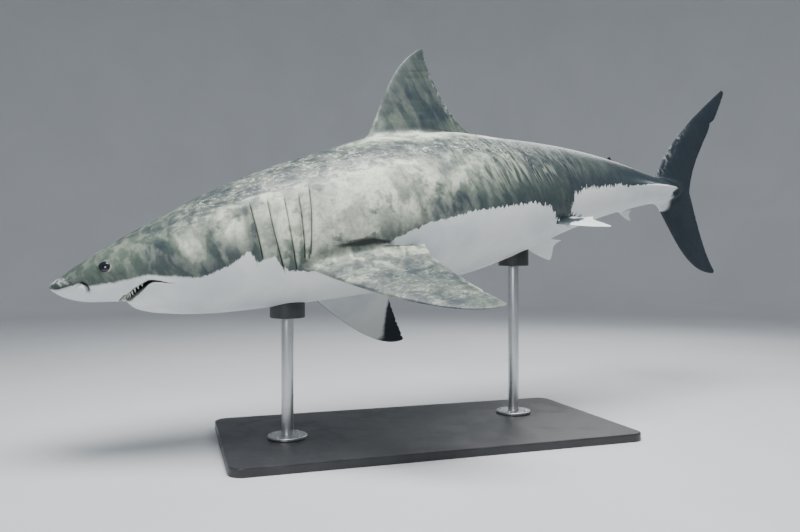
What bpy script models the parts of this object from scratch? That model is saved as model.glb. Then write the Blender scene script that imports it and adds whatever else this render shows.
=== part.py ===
"""A great white shark, life size, gliding nose-down on a display stand.

The shark is modelled straight, from the tip of the snout at station 0 back to the tips of
the tail at station 1, then its spine is bent so that the tail swings to its right side, and
an empty carries the whole animal at the pitch and bank of the glide. Metres, +Z up, the
snout towards -X and the left flank towards -Y. Every shape in the tables is given as a
share of the total length.
"""

import math

import bmesh
import bpy
import numpy as np
from mathutils import Matrix

# ---- Driving dimensions ----
TOTAL_LENGTH = 4.2
GAP = 0.0004  # clearance between pieces that touch, metres
PITCH = math.radians(9.2)  # tail above snout
BANK = math.radians(-3.0)  # left flank raised
GROUND_CLEARANCE = 0.38  # floor to the lowest fin tip, metres

# The spine's heading, in radians, is TURN * t - RETURN * t**2 along the stretch that bends.
BEND_START = 0.237
BEND_SPAN = 0.636
BEND_TURN = 0.863
BEND_RETURN = 0.594

# ---- The body's lengthwise stations: back, belly and half width ----
STATIONS = np.array([
    (0.0000, -0.0095, -0.0095, 0.0000),
    (0.0030, -0.0055, -0.0145, 0.0078),
    (0.0120, -0.0008, -0.0215, 0.0172),
    (0.0280, 0.0075, -0.0281, 0.0270),
    (0.0520, 0.0192, -0.0320, 0.0385),
    (0.0640, 0.0243, -0.0334, 0.0432),
    (0.0670, 0.0255, -0.0380, 0.0442),
    (0.0730, 0.0280, -0.0432, 0.0463),
    (0.1000, 0.0385, -0.0524, 0.0545),
    (0.1480, 0.0571, -0.0603, 0.0650),
    (0.2060, 0.0740, -0.0640, 0.0722),
    (0.2700, 0.0862, -0.0668, 0.0752),
    (0.3400, 0.0972, -0.0685, 0.0755),
    (0.4150, 0.0970, -0.0660, 0.0720),
    (0.5000, 0.0858, -0.0545, 0.0600),
    (0.5850, 0.0738, -0.0378, 0.0455),
    (0.6600, 0.0592, -0.0262, 0.0335),
    (0.7200, 0.0442, -0.0205, 0.0255),
    (0.7700, 0.0285, -0.0174, 0.0205),
    (0.8050, 0.0185, -0.0165, 0.0165),
    (0.8450, 0.0090, -0.0110, 0.0080),
    (0.8620, 0.0010, -0.0030, 0.0010),
])
WAIST = 0.47  # height of the widest line, as a share of belly to back
THROAT_FLATNESS = 0.45  # how much squarer than an ellipse the underside of the head is
THROAT_STATION = 0.085
THROAT_REACH = 0.06

# The keel is a ridge along each side of the tail stock.
KEEL_HEIGHT = 0.0135
KEEL_STATION = 0.800
KEEL_RUN_IN = 0.075
KEEL_RUN_OUT = 0.030
KEEL_WIDTH = 0.20  # radians round the section

# ---- How the body is parted ----
RING_POINTS = 30
HEAD_RINGS = (
    0.0015, 0.0045, 0.0100, 0.0180, 0.0280, 0.0400, 0.0520, 0.0640, 0.0665, 0.0700,
    0.0760, 0.0850, 0.0970, 0.1120, 0.1320, 0.1550, 0.1780,
)
GILL_RINGS = (0.1780, 0.1960, 0.2140, 0.2330, 0.2520)
TRUNK_RINGS = tuple(np.linspace(0.252, 0.560, 12))
STOCK_RINGS = (
    0.5600, 0.5870, 0.6140, 0.6410, 0.6680, 0.6950, 0.7200, 0.7430, 0.7640, 0.7830,
    0.8000, 0.8150, 0.8300, 0.8450, 0.8560,
)
STOCK_END = 0.862
SNOUT_HEIGHT = -0.0095

# ---- Mouth, in side view: station, upper lip and lower lip, from the chin to the corner ----
LIPS = np.array([
    (0.0600, -0.0420, -0.0600),
    (0.0691, -0.0286, -0.0430),
    (0.0733, -0.0252, -0.0352),
    (0.0757, -0.0240, -0.0315),
    (0.0803, -0.0223, -0.0284),
    (0.0843, -0.0206, -0.0257),
    (0.0883, -0.0191, -0.0227),
    (0.0930, -0.0199, -0.0216),
    (0.0985, -0.0217, -0.0228),
    (0.1060, -0.0249, -0.0249),
])
MOUTH_BOW = 0.0090  # how far the front of the mouth arches ahead of its sides
MOUTH_HALF_WIDTH = 0.0420
FRONT_GAPE = 0.30  # share of the gape left at the midline, where the jaw meets the snout
FRONT_CLOSING = (0.0080, 0.0360)  # how far off the midline the gape starts to open, and is full
PALATE_FRONT = 0.0785  # the mouth closes behind this station
PALATE_HALF_WIDTH = 0.0320
PALATE_RISE = 0.0030
THROAT_PARTING = (0.1280, -0.0760)
JAW_BOX = 0.1000
TEETH_A_SIDE = 11
TOOTH_PITCH = 0.0052
TOOTH_WIDTH = 0.0044
TOOTH_THICKNESS = 0.0016
TOOTH_ROOT = 0.0030
TOOTH_INSET = {"upper": 0.0028, "lower": 0.0040}
TOOTH_REACH = {"upper": 0.40, "lower": 0.55}  # of the way across the open mouth

# ---- Eyes ----
EYE_STATION = 0.0532
EYE_HEIGHT = -0.0006
EYE_RADIUS = 0.0085
EYE_DEPTH = 0.0070

# ---- Gill slits on each side: (station, height) at the top, the middle and the foot ----
GILL_SLITS = (
    ((0.1870, 0.0362), (0.1880, 0.0160), (0.1900, -0.0200)),
    ((0.2035, 0.0378), (0.2040, 0.0015), (0.2087, -0.0332)),
    ((0.2190, 0.0375), (0.2185, -0.0033), (0.2200, -0.0337)),
    ((0.2328, 0.0378), (0.2300, 0.0000), (0.2277, -0.0290)),
    ((0.2434, 0.0440), (0.2399, 0.0150), (0.2330, -0.0255)),
)
SLIT_DEPTH = 0.0035
SLIT_WIDTH = 0.0012

# ---- Fins. Each outline is two cubic curves, leading and trailing, as (back, out) ----
# The insertion is where the free rear tip leaves the body.
FIRST_DORSAL_LEAD = ((0.3223, 0.0882), (0.3539, 0.1232), (0.3672, 0.1774), (0.4171, 0.1953))
FIRST_DORSAL_TRAIL = ((0.4192, 0.1924), (0.4152, 0.1742), (0.4434, 0.0954), (0.4679, 0.0925))
FIRST_DORSAL_INSERTION = (0.4420, 0.0900)
SECOND_DORSAL_LEAD = ((0.6950, 0.0440), (0.7000, 0.0500), (0.7040, 0.0545), (0.7090, 0.0545))
SECOND_DORSAL_TRAIL = ((0.7100, 0.0540), (0.7095, 0.0500), (0.7130, 0.0475), (0.7210, 0.0460))
SECOND_DORSAL_INSERTION = (0.7100, 0.0450)
ANAL_LEAD = ((0.7000, -0.0150), (0.7090, -0.0240), (0.7190, -0.0330), (0.7300, -0.0362))
ANAL_TRAIL = ((0.7315, -0.0358), (0.7270, -0.0300), (0.7280, -0.0250), (0.7370, -0.0222))
ANAL_INSERTION = (0.7180, -0.0190)
UPPER_TAIL_LEAD = ((0.7956, 0.0106), (0.8505, 0.0754), (0.9273, 0.1081), (1.0006, 0.1455))
UPPER_TAIL_TRAIL = ((1.0053, 0.1414), (0.9691, 0.0850), (0.9030, 0.0500), (0.8800, -0.0090))
LOWER_TAIL_LEAD = ((0.7899, -0.0101), (0.8217, -0.0564), (0.8338, -0.1243), (0.9037, -0.1356))
LOWER_TAIL_TRAIL = ((0.9081, -0.1326), (0.8880, -0.0970), (0.8860, -0.0480), (0.8800, -0.0090))
TAIL_PARTING = -0.0090
NOTCH_HEIGHT = 0.0945  # the notch under the upper lobe's tip
NOTCH_DEPTH = 0.0090
NOTCH_REACH = 0.0050

PECTORAL_LEAD = ((-0.0100, -0.0200), (0.0273, 0.0645), (0.0697, 0.1383), (0.1110, 0.1414))
PECTORAL_TRAIL = ((0.1155, 0.1399), (0.1096, 0.1032), (0.0986, 0.0498), (0.1112, 0.0159))
PECTORAL_INSERTION = (0.0720, 0.0000)
PELVIC_LEAD = ((-0.0060, -0.0120), (0.0109, 0.0154), (0.0247, 0.0324), (0.0433, 0.0458))
PELVIC_TRAIL = ((0.0453, 0.0443), (0.0493, 0.0260), (0.0412, 0.0150), (0.0559, 0.0079))
PELVIC_INSERTION = (0.0380, 0.0000)

# Where each paired fin's origin stands, and its droop, pitch and sweep in radians.
PAIRED_FINS = {
    "pectoral_fin_left": (0.2297, -0.0605, -0.0293, 0.559, -0.110, 0.086),
    "pectoral_fin_right": (0.2339, 0.0599, -0.0400, 0.908, -0.228, 0.487),
    "pelvic_fin_left": (0.5346, -0.0400, -0.0260, 0.392, -0.076, -0.057),
    "pelvic_fin_right": (0.5364, 0.0285, -0.0398, 0.663, 0.051, 0.594),
}
FIN_THICKNESS = 0.095  # of the chord, at the root
FIN_TIP_THICKNESS = 0.060
FIN_EDGE = 0.0010  # half thickness of the trailing edge, metres

# ---- Stand, metres ----
BASE_LENGTH = 1.80
BASE_WIDTH = 0.90
BASE_THICKNESS = 0.036
BASE_CORNER = 0.060
BASE_EDGE = 0.006
BASE_STATION = 0.365
ROD_STATIONS = {"front": 0.215, "rear": 0.500}
ROD_RADIUS = 0.026
FLANGE_RADIUS = 0.085
FLANGE_THICKNESS = 0.014
SADDLE_RADIUS = 0.075
SADDLE_HEIGHT = 0.055
SADDLE_SINK = 0.030  # how far the saddle's blank reaches into the belly before it is dished

# ---- Paint ----
BACK_GREY = (0.20, 0.23, 0.23)
BELLY_WHITE = (0.80, 0.82, 0.80)
EYE_BLACK = (0.012, 0.015, 0.022)
STAND_BLACK = (0.035, 0.037, 0.040)
ROD_STEEL = (0.55, 0.56, 0.57)


# ---- Curves ----
def through(x, knots, values):
    """Monotone cubic through the knots: no overshoot between one station and the next."""
    step = np.diff(knots)
    rise = np.diff(values) / step
    slope = np.zeros(len(knots))
    same = rise[1:] * rise[:-1] > 0
    before, after = step[:-1], step[1:]
    weight_a, weight_b = 2 * after + before, after + 2 * before
    safe_a = np.where(same, rise[:-1], 1.0)
    safe_b = np.where(same, rise[1:], 1.0)
    inner = (weight_a + weight_b) / (weight_a / safe_a + weight_b / safe_b)
    slope[1:-1] = np.where(same, inner, 0.0)
    slope[0], slope[-1] = rise[0], rise[-1]
    i = np.clip(np.searchsorted(knots, x) - 1, 0, len(step) - 1)
    t = (x - knots[i]) / step[i]
    start, end = values[i], values[i + 1]
    return (
        start * (1 + 2 * t) * (1 - t) ** 2
        + step[i] * slope[i] * t * (1 - t) ** 2
        + end * t**2 * (3 - 2 * t)
        + step[i] * slope[i + 1] * t**2 * (t - 1)
    )


def cubic(points, t):
    """A cubic curve's points for parameters t from 0 to 1."""
    a, b, c, d = (np.array(p, float) for p in points)
    t = np.asarray(t, float)[:, None]
    return a * (1 - t) ** 3 + 3 * b * t * (1 - t) ** 2 + 3 * c * t**2 * (1 - t) + d * t**3


# ---- The body's surface ----
def profile(s):
    """Back, belly and half width at station s. Square-root spacing rounds the snout."""
    knots = np.sqrt(STATIONS[:, 0])
    return [through(np.sqrt(s), knots, STATIONS[:, k]) for k in (1, 2, 3)]


def keel(s):
    """Height of the side keel: it swells slowly and ends sooner."""
    run = np.where(s < KEEL_STATION, KEEL_RUN_IN, KEEL_RUN_OUT)
    return KEEL_HEIGHT * np.exp(-(((s - KEEL_STATION) / run) ** 2))


def body_point(s, v):
    """Straight-body point at station s and angle v: 0 on the back, pi/2 on the right flank."""
    back, belly, half = profile(s)
    middle = belly + WAIST * (back - belly)
    squareness = THROAT_FLATNESS * np.exp(-(((s - THROAT_STATION) / THROAT_REACH) ** 2))
    below = np.cos(v) < 0
    power = 2 / (2 + np.where(below, squareness, 0.0))
    side = np.sign(np.sin(v)) * np.abs(np.sin(v)) ** power
    rise = np.sign(np.cos(v)) * np.abs(np.cos(v)) ** power
    off_side = np.arcsin(np.clip(np.abs(np.cos(v)), 0, 1))
    ridge = keel(s) * np.exp(-((off_side / KEEL_WIDTH) ** 2)) * np.sign(np.sin(v))
    height = np.where(below, middle - belly, back - middle)
    return np.stack([s + 0 * v, half * side + ridge, middle + height * rise], -1)


def flank_at(s, z, side):
    """The surface point at station s and height z, on the side -1 left or +1 right."""
    v = np.linspace(0.02, math.pi - 0.02, 721)
    line = body_point(np.full_like(v, s), v)
    i = np.argmin(np.abs(line[:, 2] - z))
    return np.array([s, side * line[i, 1], line[i, 2]])


def bent(points):
    """Bends straight-body points along the spine and scales them to metres."""
    s = np.linspace(-0.1, 1.1, 1201)
    t = np.clip((s - BEND_START) / BEND_SPAN, 0, 1.2)
    heading = BEND_TURN * t - BEND_RETURN * t**2
    step = np.diff(s, prepend=s[0])
    x, y = np.cumsum(np.cos(heading) * step), np.cumsum(np.sin(heading) * step)
    x, y = x - np.interp(0, s, x), y - np.interp(0, s, y)
    p = np.asarray(points, float)
    at_x, at_y = np.interp(p[..., 0], s, x), np.interp(p[..., 0], s, y)
    turn = np.interp(p[..., 0], s, heading)
    placed = [at_x - np.sin(turn) * p[..., 1], at_y + np.cos(turn) * p[..., 1], p[..., 2]]
    return np.stack(placed, -1) * TOTAL_LENGTH


# ---- Meshes ----
def add_object(name, points, faces, finish, parent):
    """A smooth-shaded mesh object with its normals facing out."""
    mesh = bpy.data.meshes.new(name)
    mesh.from_pydata(np.asarray(points).tolist(), [], faces)
    shape = bmesh.new()
    shape.from_mesh(mesh)
    bmesh.ops.recalc_face_normals(shape, faces=shape.faces)
    shape.to_mesh(mesh)
    shape.free()
    mesh.shade_smooth()
    mesh.set_sharp_from_angle(angle=math.radians(40))
    if finish is not None:
        mesh.materials.append(finish)
    obj = bpy.data.objects.new(name, mesh)
    bpy.context.scene.collection.objects.link(obj)
    obj.parent = parent
    return obj


def lofted(rings, first_tip=None, last_tip=None):
    """Points and faces of a closed skin over equal rings, with a point or a flat cap at each end."""
    count, around = len(rings), len(rings[0])
    points = [p for ring in rings for p in ring]
    faces = []
    for i in range(count - 1):
        for j in range(around):
            k = (j + 1) % around
            a, b = i * around, (i + 1) * around
            faces.append((a + j, a + k, b + k, b + j))
    last = (count - 1) * around
    for tip, row in ((first_tip, 0), (last_tip, last)):
        ring = [row + j for j in range(around)]
        if tip is None:
            faces.append(tuple(ring))
            continue
        points.append(tip)
        for j in range(around):
            faces.append((row + j, row + (j + 1) % around, len(points) - 1))
    return np.array(points), faces


def body_rings(stations, grow=0.0):
    """Rings of the body at these stations, each swollen outwards by grow metres."""
    v = np.arange(RING_POINTS) * 2 * math.pi / RING_POINTS
    rings = []
    for s in stations:
        ring = body_point(np.full_like(v, s), v)
        centre = ring.mean(0)
        out = ring - centre
        reach = np.linalg.norm(out, axis=1, keepdims=True)
        rings.append(centre + out * (1 + grow / TOTAL_LENGTH / reach))
    return rings


def body_piece(name, stations, finish, parent, first_tip=None, last_tip=None, grow=0.0):
    """One length of the body between two flat partings, or out to a tip."""
    stations = np.array(stations, float)
    trim = GAP / 2 / TOTAL_LENGTH
    if first_tip is None:
        stations[0] += trim
    if last_tip is None:
        stations[-1] -= trim
    points, faces = lofted(body_rings(stations, grow), first_tip, last_tip)
    return add_object(name, bent(points), faces, finish, parent)


def helper(obj):
    """Marks a cutter, which is no part of the shark."""
    obj.hide_render = True
    obj.display_type = "WIRE"
    return obj


def cut(obj, tool, operation="DIFFERENCE"):
    """Adds a Boolean with the exact solver."""
    modifier = obj.modifiers.new(operation.title() + "_" + tool.name, "BOOLEAN")
    modifier.operation = operation
    modifier.solver = "EXACT"
    modifier.object = tool


# ---- Mouth and teeth ----
def mouth_bow(y):
    """How far ahead of the side-view lip line the mouth runs at distance y off the midline."""
    return MOUTH_BOW * np.clip(1 - (y / MOUTH_HALF_WIDTH) ** 2, 0, 1)


def lip_height(s, raised, y):
    """Height of the lip at station s and distance y off the midline: the upper where raised
    is +1, the lower where -1."""
    upper = np.interp(s, LIPS[:, 0], LIPS[:, 1])
    lower = np.interp(s, LIPS[:, 0], LIPS[:, 2])
    t = np.clip((np.abs(y) - FRONT_CLOSING[0]) / (FRONT_CLOSING[1] - FRONT_CLOSING[0]), 0, 1)
    share = FRONT_GAPE + (1 - FRONT_GAPE) * t * t * (3 - 2 * t)
    return upper - (1 - raised) / 2 * (upper - lower) * share


def mouth_cutter(name, upper, shift, parent):
    """The space below a lip and ahead of the throat; the lower one rises to a closed palate."""
    stations = np.linspace(LIPS[0, 0], LIPS[-1, 0], 13)
    inner = PALATE_HALF_WIDTH
    half = [0.0, inner / 2, inner - PALATE_RISE, inner, MOUTH_HALF_WIDTH, JAW_BOX]
    rings = []
    for y in [-h for h in half[:0:-1]] + half:
        raised = np.ones_like(stations)
        if not upper:
            behind = (stations - PALATE_FRONT) / PALATE_RISE
            within = (inner - abs(y)) / PALATE_RISE
            raised = 2 * np.clip(behind, 0, 1) * np.clip(within, 0, 1) - 1
        height = lip_height(stations, raised, y) - (0 if upper else GAP / TOTAL_LENGTH)
        ahead = stations - mouth_bow(y)
        ahead[-1] += shift + mouth_bow(y)
        outline = [*zip(ahead, height), (THROAT_PARTING[0] + shift, THROAT_PARTING[1])]
        outline.append((LIPS[0, 0] - MOUTH_BOW, THROAT_PARTING[1]))
        rings.append([(s, y, z) for s, z in outline])
    points, faces = lofted(rings)
    split = []
    for face in faces:
        split += [face[:3], (face[0], *face[2:])] if len(face) == 4 else [face]
    return helper(add_object(name, bent(points), split, None, parent))


def lip_curve(raised):
    """The right half of a lip on the skin, from the chin back towards the corner."""
    stations = np.linspace(LIPS[0, 0] - MOUTH_BOW, LIPS[-1, 0], 400)
    curve = []
    for v in np.linspace(math.pi, 1.7, 90):
        line = body_point(stations, np.full_like(stations, v))
        lip = lip_height(stations + mouth_bow(line[:, 1]), raised, line[:, 1])
        under = line[:, 2] < lip
        if under.any():
            curve.append(line[np.argmax(under)])
    return np.array(curve)


def tooth_row(name, row, parent):
    """Teeth along one lip as four-sided points: the upper ones hang and the lower ones stand."""
    raised = 1 if row == "upper" else -1
    curve = lip_curve(raised)
    run = np.concatenate([[0], np.cumsum(np.linalg.norm(np.diff(curve, axis=0), axis=1))])

    def at(distance):
        return np.array([np.interp(distance, run, curve[:, k]) for k in range(3)])

    points, faces = [], []
    for i in range(TEETH_A_SIDE):
        distance = (i + 0.5) * TOOTH_PITCH
        along = (at(distance + TOOTH_PITCH / 2) - at(distance - TOOTH_PITCH / 2)) * (1, 1, 0)
        along /= np.linalg.norm(along)
        inward = np.array([along[1], -along[0], 0.0])
        middle = at(distance) + inward * TOOTH_INSET[row]
        station = middle[0] + mouth_bow(middle[1])
        middle[2] = lip_height(station, raised, middle[1])
        gape = middle[2] - lip_height(station, -raised, middle[1])
        gape *= raised
        root = middle + (0, 0, raised * TOOTH_ROOT)
        tip = middle - (0, 0, raised * TOOTH_REACH[row] * gape)
        base = [
            root + along * a * TOOTH_WIDTH / 2 + inward * b * TOOTH_THICKNESS / 2
            for a, b in ((-1, -1), (1, -1), (1, 1), (-1, 1))
        ]
        for side in (-1, 1):
            first = len(points)
            points += [corner * np.array([1, side, 1]) for corner in (*base, tip)]
            faces.append(tuple(first + k for k in range(4)))
            faces += [(first + k, first + (k + 1) % 4, first + 4) for k in range(4)]
    return helper(add_object(name, bent(np.array(points)), faces, None, parent))


# ---- Gills ----
def gill_cutter(name, parent):
    """Thin curved blades that stand across the skin along each slit."""
    points, faces = [], []
    for side in (-1, 1):
        for slit in GILL_SLITS:
            knots = np.array(slit)
            t = np.linspace(0, 1, 5)
            weights = np.stack([(1 - t) * (1 - 2 * t), 4 * t * (1 - t), t * (2 * t - 1)], 1)
            rings = []
            for s, z in weights @ knots:
                skin = flank_at(s, z, side)
                out = skin * (0, 1, 1) - (0, 0, 0.005)
                out /= np.linalg.norm(out)
                along = np.array([SLIT_WIDTH / 2, 0, 0])
                inner, outer = skin - out * SLIT_DEPTH, skin + out * 2 * SLIT_DEPTH
                rings.append([inner - along, inner + along, outer + along, outer - along])
            shape, skin_faces = lofted(rings)
            first = len(points)
            points += shape.tolist()
            faces += [tuple(first + k for k in face) for face in skin_faces]
    return helper(add_object(name, bent(np.array(points)), faces, None, parent))


# ---- Eyes ----
def ball(name, centre, radius, finish, parent, segments=12, rings=8):
    """A sphere about a bent-body point, metres."""
    mesh = bpy.data.meshes.new(name)
    shape = bmesh.new()
    bmesh.ops.create_uvsphere(shape, u_segments=segments, v_segments=rings, radius=radius)
    bmesh.ops.rotate(shape, verts=shape.verts, matrix=Matrix.Rotation(math.pi / 2, 3, "X"))
    shape.to_mesh(mesh)
    shape.free()
    mesh.shade_smooth()
    if finish is not None:
        mesh.materials.append(finish)
    obj = bpy.data.objects.new(name, mesh)
    bpy.context.scene.collection.objects.link(obj)
    obj.parent = parent
    obj.location = centre
    return obj


def eye_centre(side):
    """The eyeball's centre, sunk behind the skin by EYE_DEPTH."""
    skin = flank_at(EYE_STATION, EYE_HEIGHT, side)
    out = np.array([-0.25, side, 0.22])
    return bent(skin - out / np.linalg.norm(out) * EYE_DEPTH)


# ---- Fins ----
def edges(lead, trail, insertion, count, low=None):
    """Heights out from root to tip, with the leading and trailing stations at each."""
    sign = 1 if lead[3][1] > lead[0][1] else -1
    t = np.linspace(0, 1, 240)
    front, rear = cubic(lead, t), cubic(trail, t)
    low = lead[0][1] if low is None else low
    out = low + (lead[3][1] - low) * np.sin(np.linspace(0, math.pi / 2, count))
    if insertion is not None:
        corner = trail[3][1]
        nearest = max(1, np.argmin(np.abs(out - corner)))
        out[nearest] = corner
    ahead = np.interp(sign * out, sign * front[:, 1], front[:, 0])
    behind = np.interp(sign * out, sign * rear[::-1, 1], rear[::-1, 0])
    if insertion is not None:
        inner = np.array([insertion, trail[3]])
        margin = np.interp(sign * out, sign * inner[:, 1], inner[:, 0])
        behind = np.where(sign * out < sign * corner, margin, behind)
    return out, ahead, behind


def section(chord, thickness, across=8):
    """A rounded-nose, thin-tailed section as (back, side) pairs round the fin."""
    x = (1 - np.cos(np.linspace(0, math.pi, across))) / 2
    half = thickness * (1.4845 * np.sqrt(x) - 0.63 * x - 1.758 * x**2 + 1.4215 * x**3 - 0.518 * x**4)
    edge = np.minimum(FIN_EDGE / TOTAL_LENGTH, 0.2 * chord) * np.sqrt(x)
    half = half * chord + edge
    back = x * chord
    upper = list(zip(back, half))
    lower = [(b, -h) for b, h in zip(back[1:], half[1:])]
    return upper[::-1] + lower


def fin_rings(out, ahead, behind, place, across=8):
    """Rings of a fin from its edges; place turns (back, out, side) into a straight-body point."""
    rings = []
    for i, (reach, front, rear) in enumerate(zip(out, ahead, behind)):
        chord = max(rear - front, 0.0015)
        share = i / (len(out) - 1)
        thick = FIN_THICKNESS + (FIN_TIP_THICKNESS - FIN_THICKNESS) * share
        ring = [place(front + b, reach, h) for b, h in section(chord, thick, across)]
        rings.append(np.array(ring))
    return rings


def upright(back, out, side):
    """Places a fin of the midline."""
    return (back, side, out)


def fin_object(name, rings, finish, parent, body):
    """A fin whose root follows the skin of the body."""
    points, faces = lofted(rings)
    fin = add_object(name, bent(points), faces, finish, parent)
    cut(fin, body)
    return fin


def turned(droop, pitch, sweep, side):
    """Rotation of a paired fin: pitched, drooped, then swept back."""
    rotation = Matrix.Rotation(-side * sweep, 3, "Z") @ Matrix.Rotation(-side * droop, 3, "X")
    return np.array(rotation @ Matrix.Rotation(pitch, 3, "Y"))


def paired_fin(name, lead, trail, insertion, count, finish, parent, body):
    """A pectoral or pelvic fin, turned about its origin on the flank."""
    s, y, z, droop, pitch, sweep = PAIRED_FINS[name]
    side = 1 if y > 0 else -1
    rotation = turned(droop, pitch, sweep, side)

    def place(back, out, thick):
        return rotation @ np.array([back, side * out, thick]) + (s, y, z)

    out, ahead, behind = edges(lead, trail, insertion, count)
    return fin_object(name, fin_rings(out, ahead, behind, place), finish, parent, body)


def tail_fins(finish, parent, body):
    """The two lobes of the crescent tail, parted below its middle."""
    trim = GAP / 2 / TOTAL_LENGTH
    out, ahead, behind = edges(UPPER_TAIL_LEAD, UPPER_TAIL_TRAIL, None, 16, TAIL_PARTING + trim)
    behind = behind - NOTCH_DEPTH * np.exp(-(((out - NOTCH_HEIGHT) / NOTCH_REACH) ** 2))
    fin_object("caudal_fin_upper", fin_rings(out, ahead, behind, upright), finish, parent, body)
    out, ahead, behind = edges(LOWER_TAIL_LEAD, LOWER_TAIL_TRAIL, None, 13, TAIL_PARTING - trim)
    fin_object("caudal_fin_lower", fin_rings(out, ahead, behind, upright), finish, parent, body)


def midline_fin(name, lead, trail, insertion, count, finish, parent, body, across=8):
    """A dorsal or anal fin in the shark's plane of symmetry."""
    out, ahead, behind = edges(lead, trail, insertion, count)
    fin_object(name, fin_rings(out, ahead, behind, upright, across), finish, parent, body)


# ---- Stand ----
def disc(name, centre, radius, bottom, top, finish, segments=28):
    """An upright round bar or plate between two heights, metres."""
    mesh = bpy.data.meshes.new(name)
    shape = bmesh.new()
    bmesh.ops.create_cone(
        shape, cap_ends=True, segments=segments, radius1=radius, radius2=radius,
        depth=top - bottom,
    )
    shape.to_mesh(mesh)
    shape.free()
    mesh.shade_smooth()
    mesh.set_sharp_from_angle(angle=math.radians(40))
    mesh.materials.append(finish)
    obj = bpy.data.objects.new(name, mesh)
    bpy.context.scene.collection.objects.link(obj)
    obj.location = (centre[0], centre[1], (bottom + top) / 2)
    return obj


def stand_base(centre, finish):
    """The flat plate with rounded corners and a small edge round."""
    mesh = bpy.data.meshes.new("stand_base")
    shape = bmesh.new()
    bmesh.ops.create_cube(shape, size=1.0)
    size = (BASE_LENGTH, BASE_WIDTH, BASE_THICKNESS)
    bmesh.ops.scale(shape, vec=size, verts=shape.verts)
    upright_edges = [
        e for e in shape.edges if abs(e.verts[0].co.z - e.verts[1].co.z) > BASE_THICKNESS / 2
    ]
    bmesh.ops.bevel(
        shape, geom=upright_edges, offset=BASE_CORNER, segments=8, profile=0.5,
        affect="EDGES",
    )
    rim = [
        e for e in shape.edges
        if all(v.co.z > 0 for v in e.verts) and len(e.link_faces) == 2
        and abs(e.link_faces[0].normal.z - e.link_faces[1].normal.z) > 0.5
    ]
    bmesh.ops.bevel(shape, geom=rim, offset=BASE_EDGE, segments=2, profile=0.5, affect="EDGES")
    shape.to_mesh(mesh)
    shape.free()
    mesh.materials.append(finish)
    obj = bpy.data.objects.new("stand_base", mesh)
    bpy.context.scene.collection.objects.link(obj)
    obj.location = (centre[0], centre[1], BASE_THICKNESS / 2)
    return obj


def stand(carrier, body, black, steel):
    """Base, and for each rod its flange on the base and its dished saddle under the belly."""
    heart = carrier.matrix_world @ vector_at(BASE_STATION)
    stand_base(heart, black)
    for place, station in ROD_STATIONS.items():
        belly = carrier.matrix_world @ vector_at(station)
        floor = BASE_THICKNESS + GAP
        flange_top = floor + FLANGE_THICKNESS
        saddle_foot = belly.z - SADDLE_HEIGHT
        disc(f"stand_flange_{place}", belly, FLANGE_RADIUS, floor, flange_top, steel)
        disc(f"stand_rod_{place}", belly, ROD_RADIUS, flange_top + GAP, saddle_foot - GAP, steel)
        saddle = disc(
            f"stand_saddle_{place}", belly, SADDLE_RADIUS, saddle_foot,
            belly.z + SADDLE_SINK, black,
        )
        cut(saddle, body)


def vector_at(station):
    """The middle of the belly at a station, in the carrier's frame."""
    belly = float(profile(np.array([station]))[1][0])
    return Matrix.Translation(bent(np.array([station, 0.0, belly]))).to_translation()


# ---- Materials and assembly ----
def paint(name, colour, roughness, metallic=0.0):
    """A plain Principled finish."""
    material = bpy.data.materials.new(name)
    material.use_nodes = True
    shader = material.node_tree.nodes["Principled BSDF"]
    shader.inputs["Base Color"].default_value = (*colour, 1.0)
    shader.inputs["Roughness"].default_value = roughness
    shader.inputs["Metallic"].default_value = metallic
    return material


def settle(carrier):
    """Moves the carrier so that the shark is centred over the origin at its clearance."""
    bpy.context.view_layer.update()
    points = []
    for obj in bpy.context.scene.objects:
        if obj.type == "MESH" and not obj.hide_render:
            points += [obj.matrix_world @ v.co for v in obj.data.vertices]
    points = np.array(points)
    low, high = points.min(0), points.max(0)
    middle = (low + high) / 2
    carrier.location = (-middle[0], -middle[1], GROUND_CLEARANCE - low[2])
    bpy.context.view_layer.update()


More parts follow.
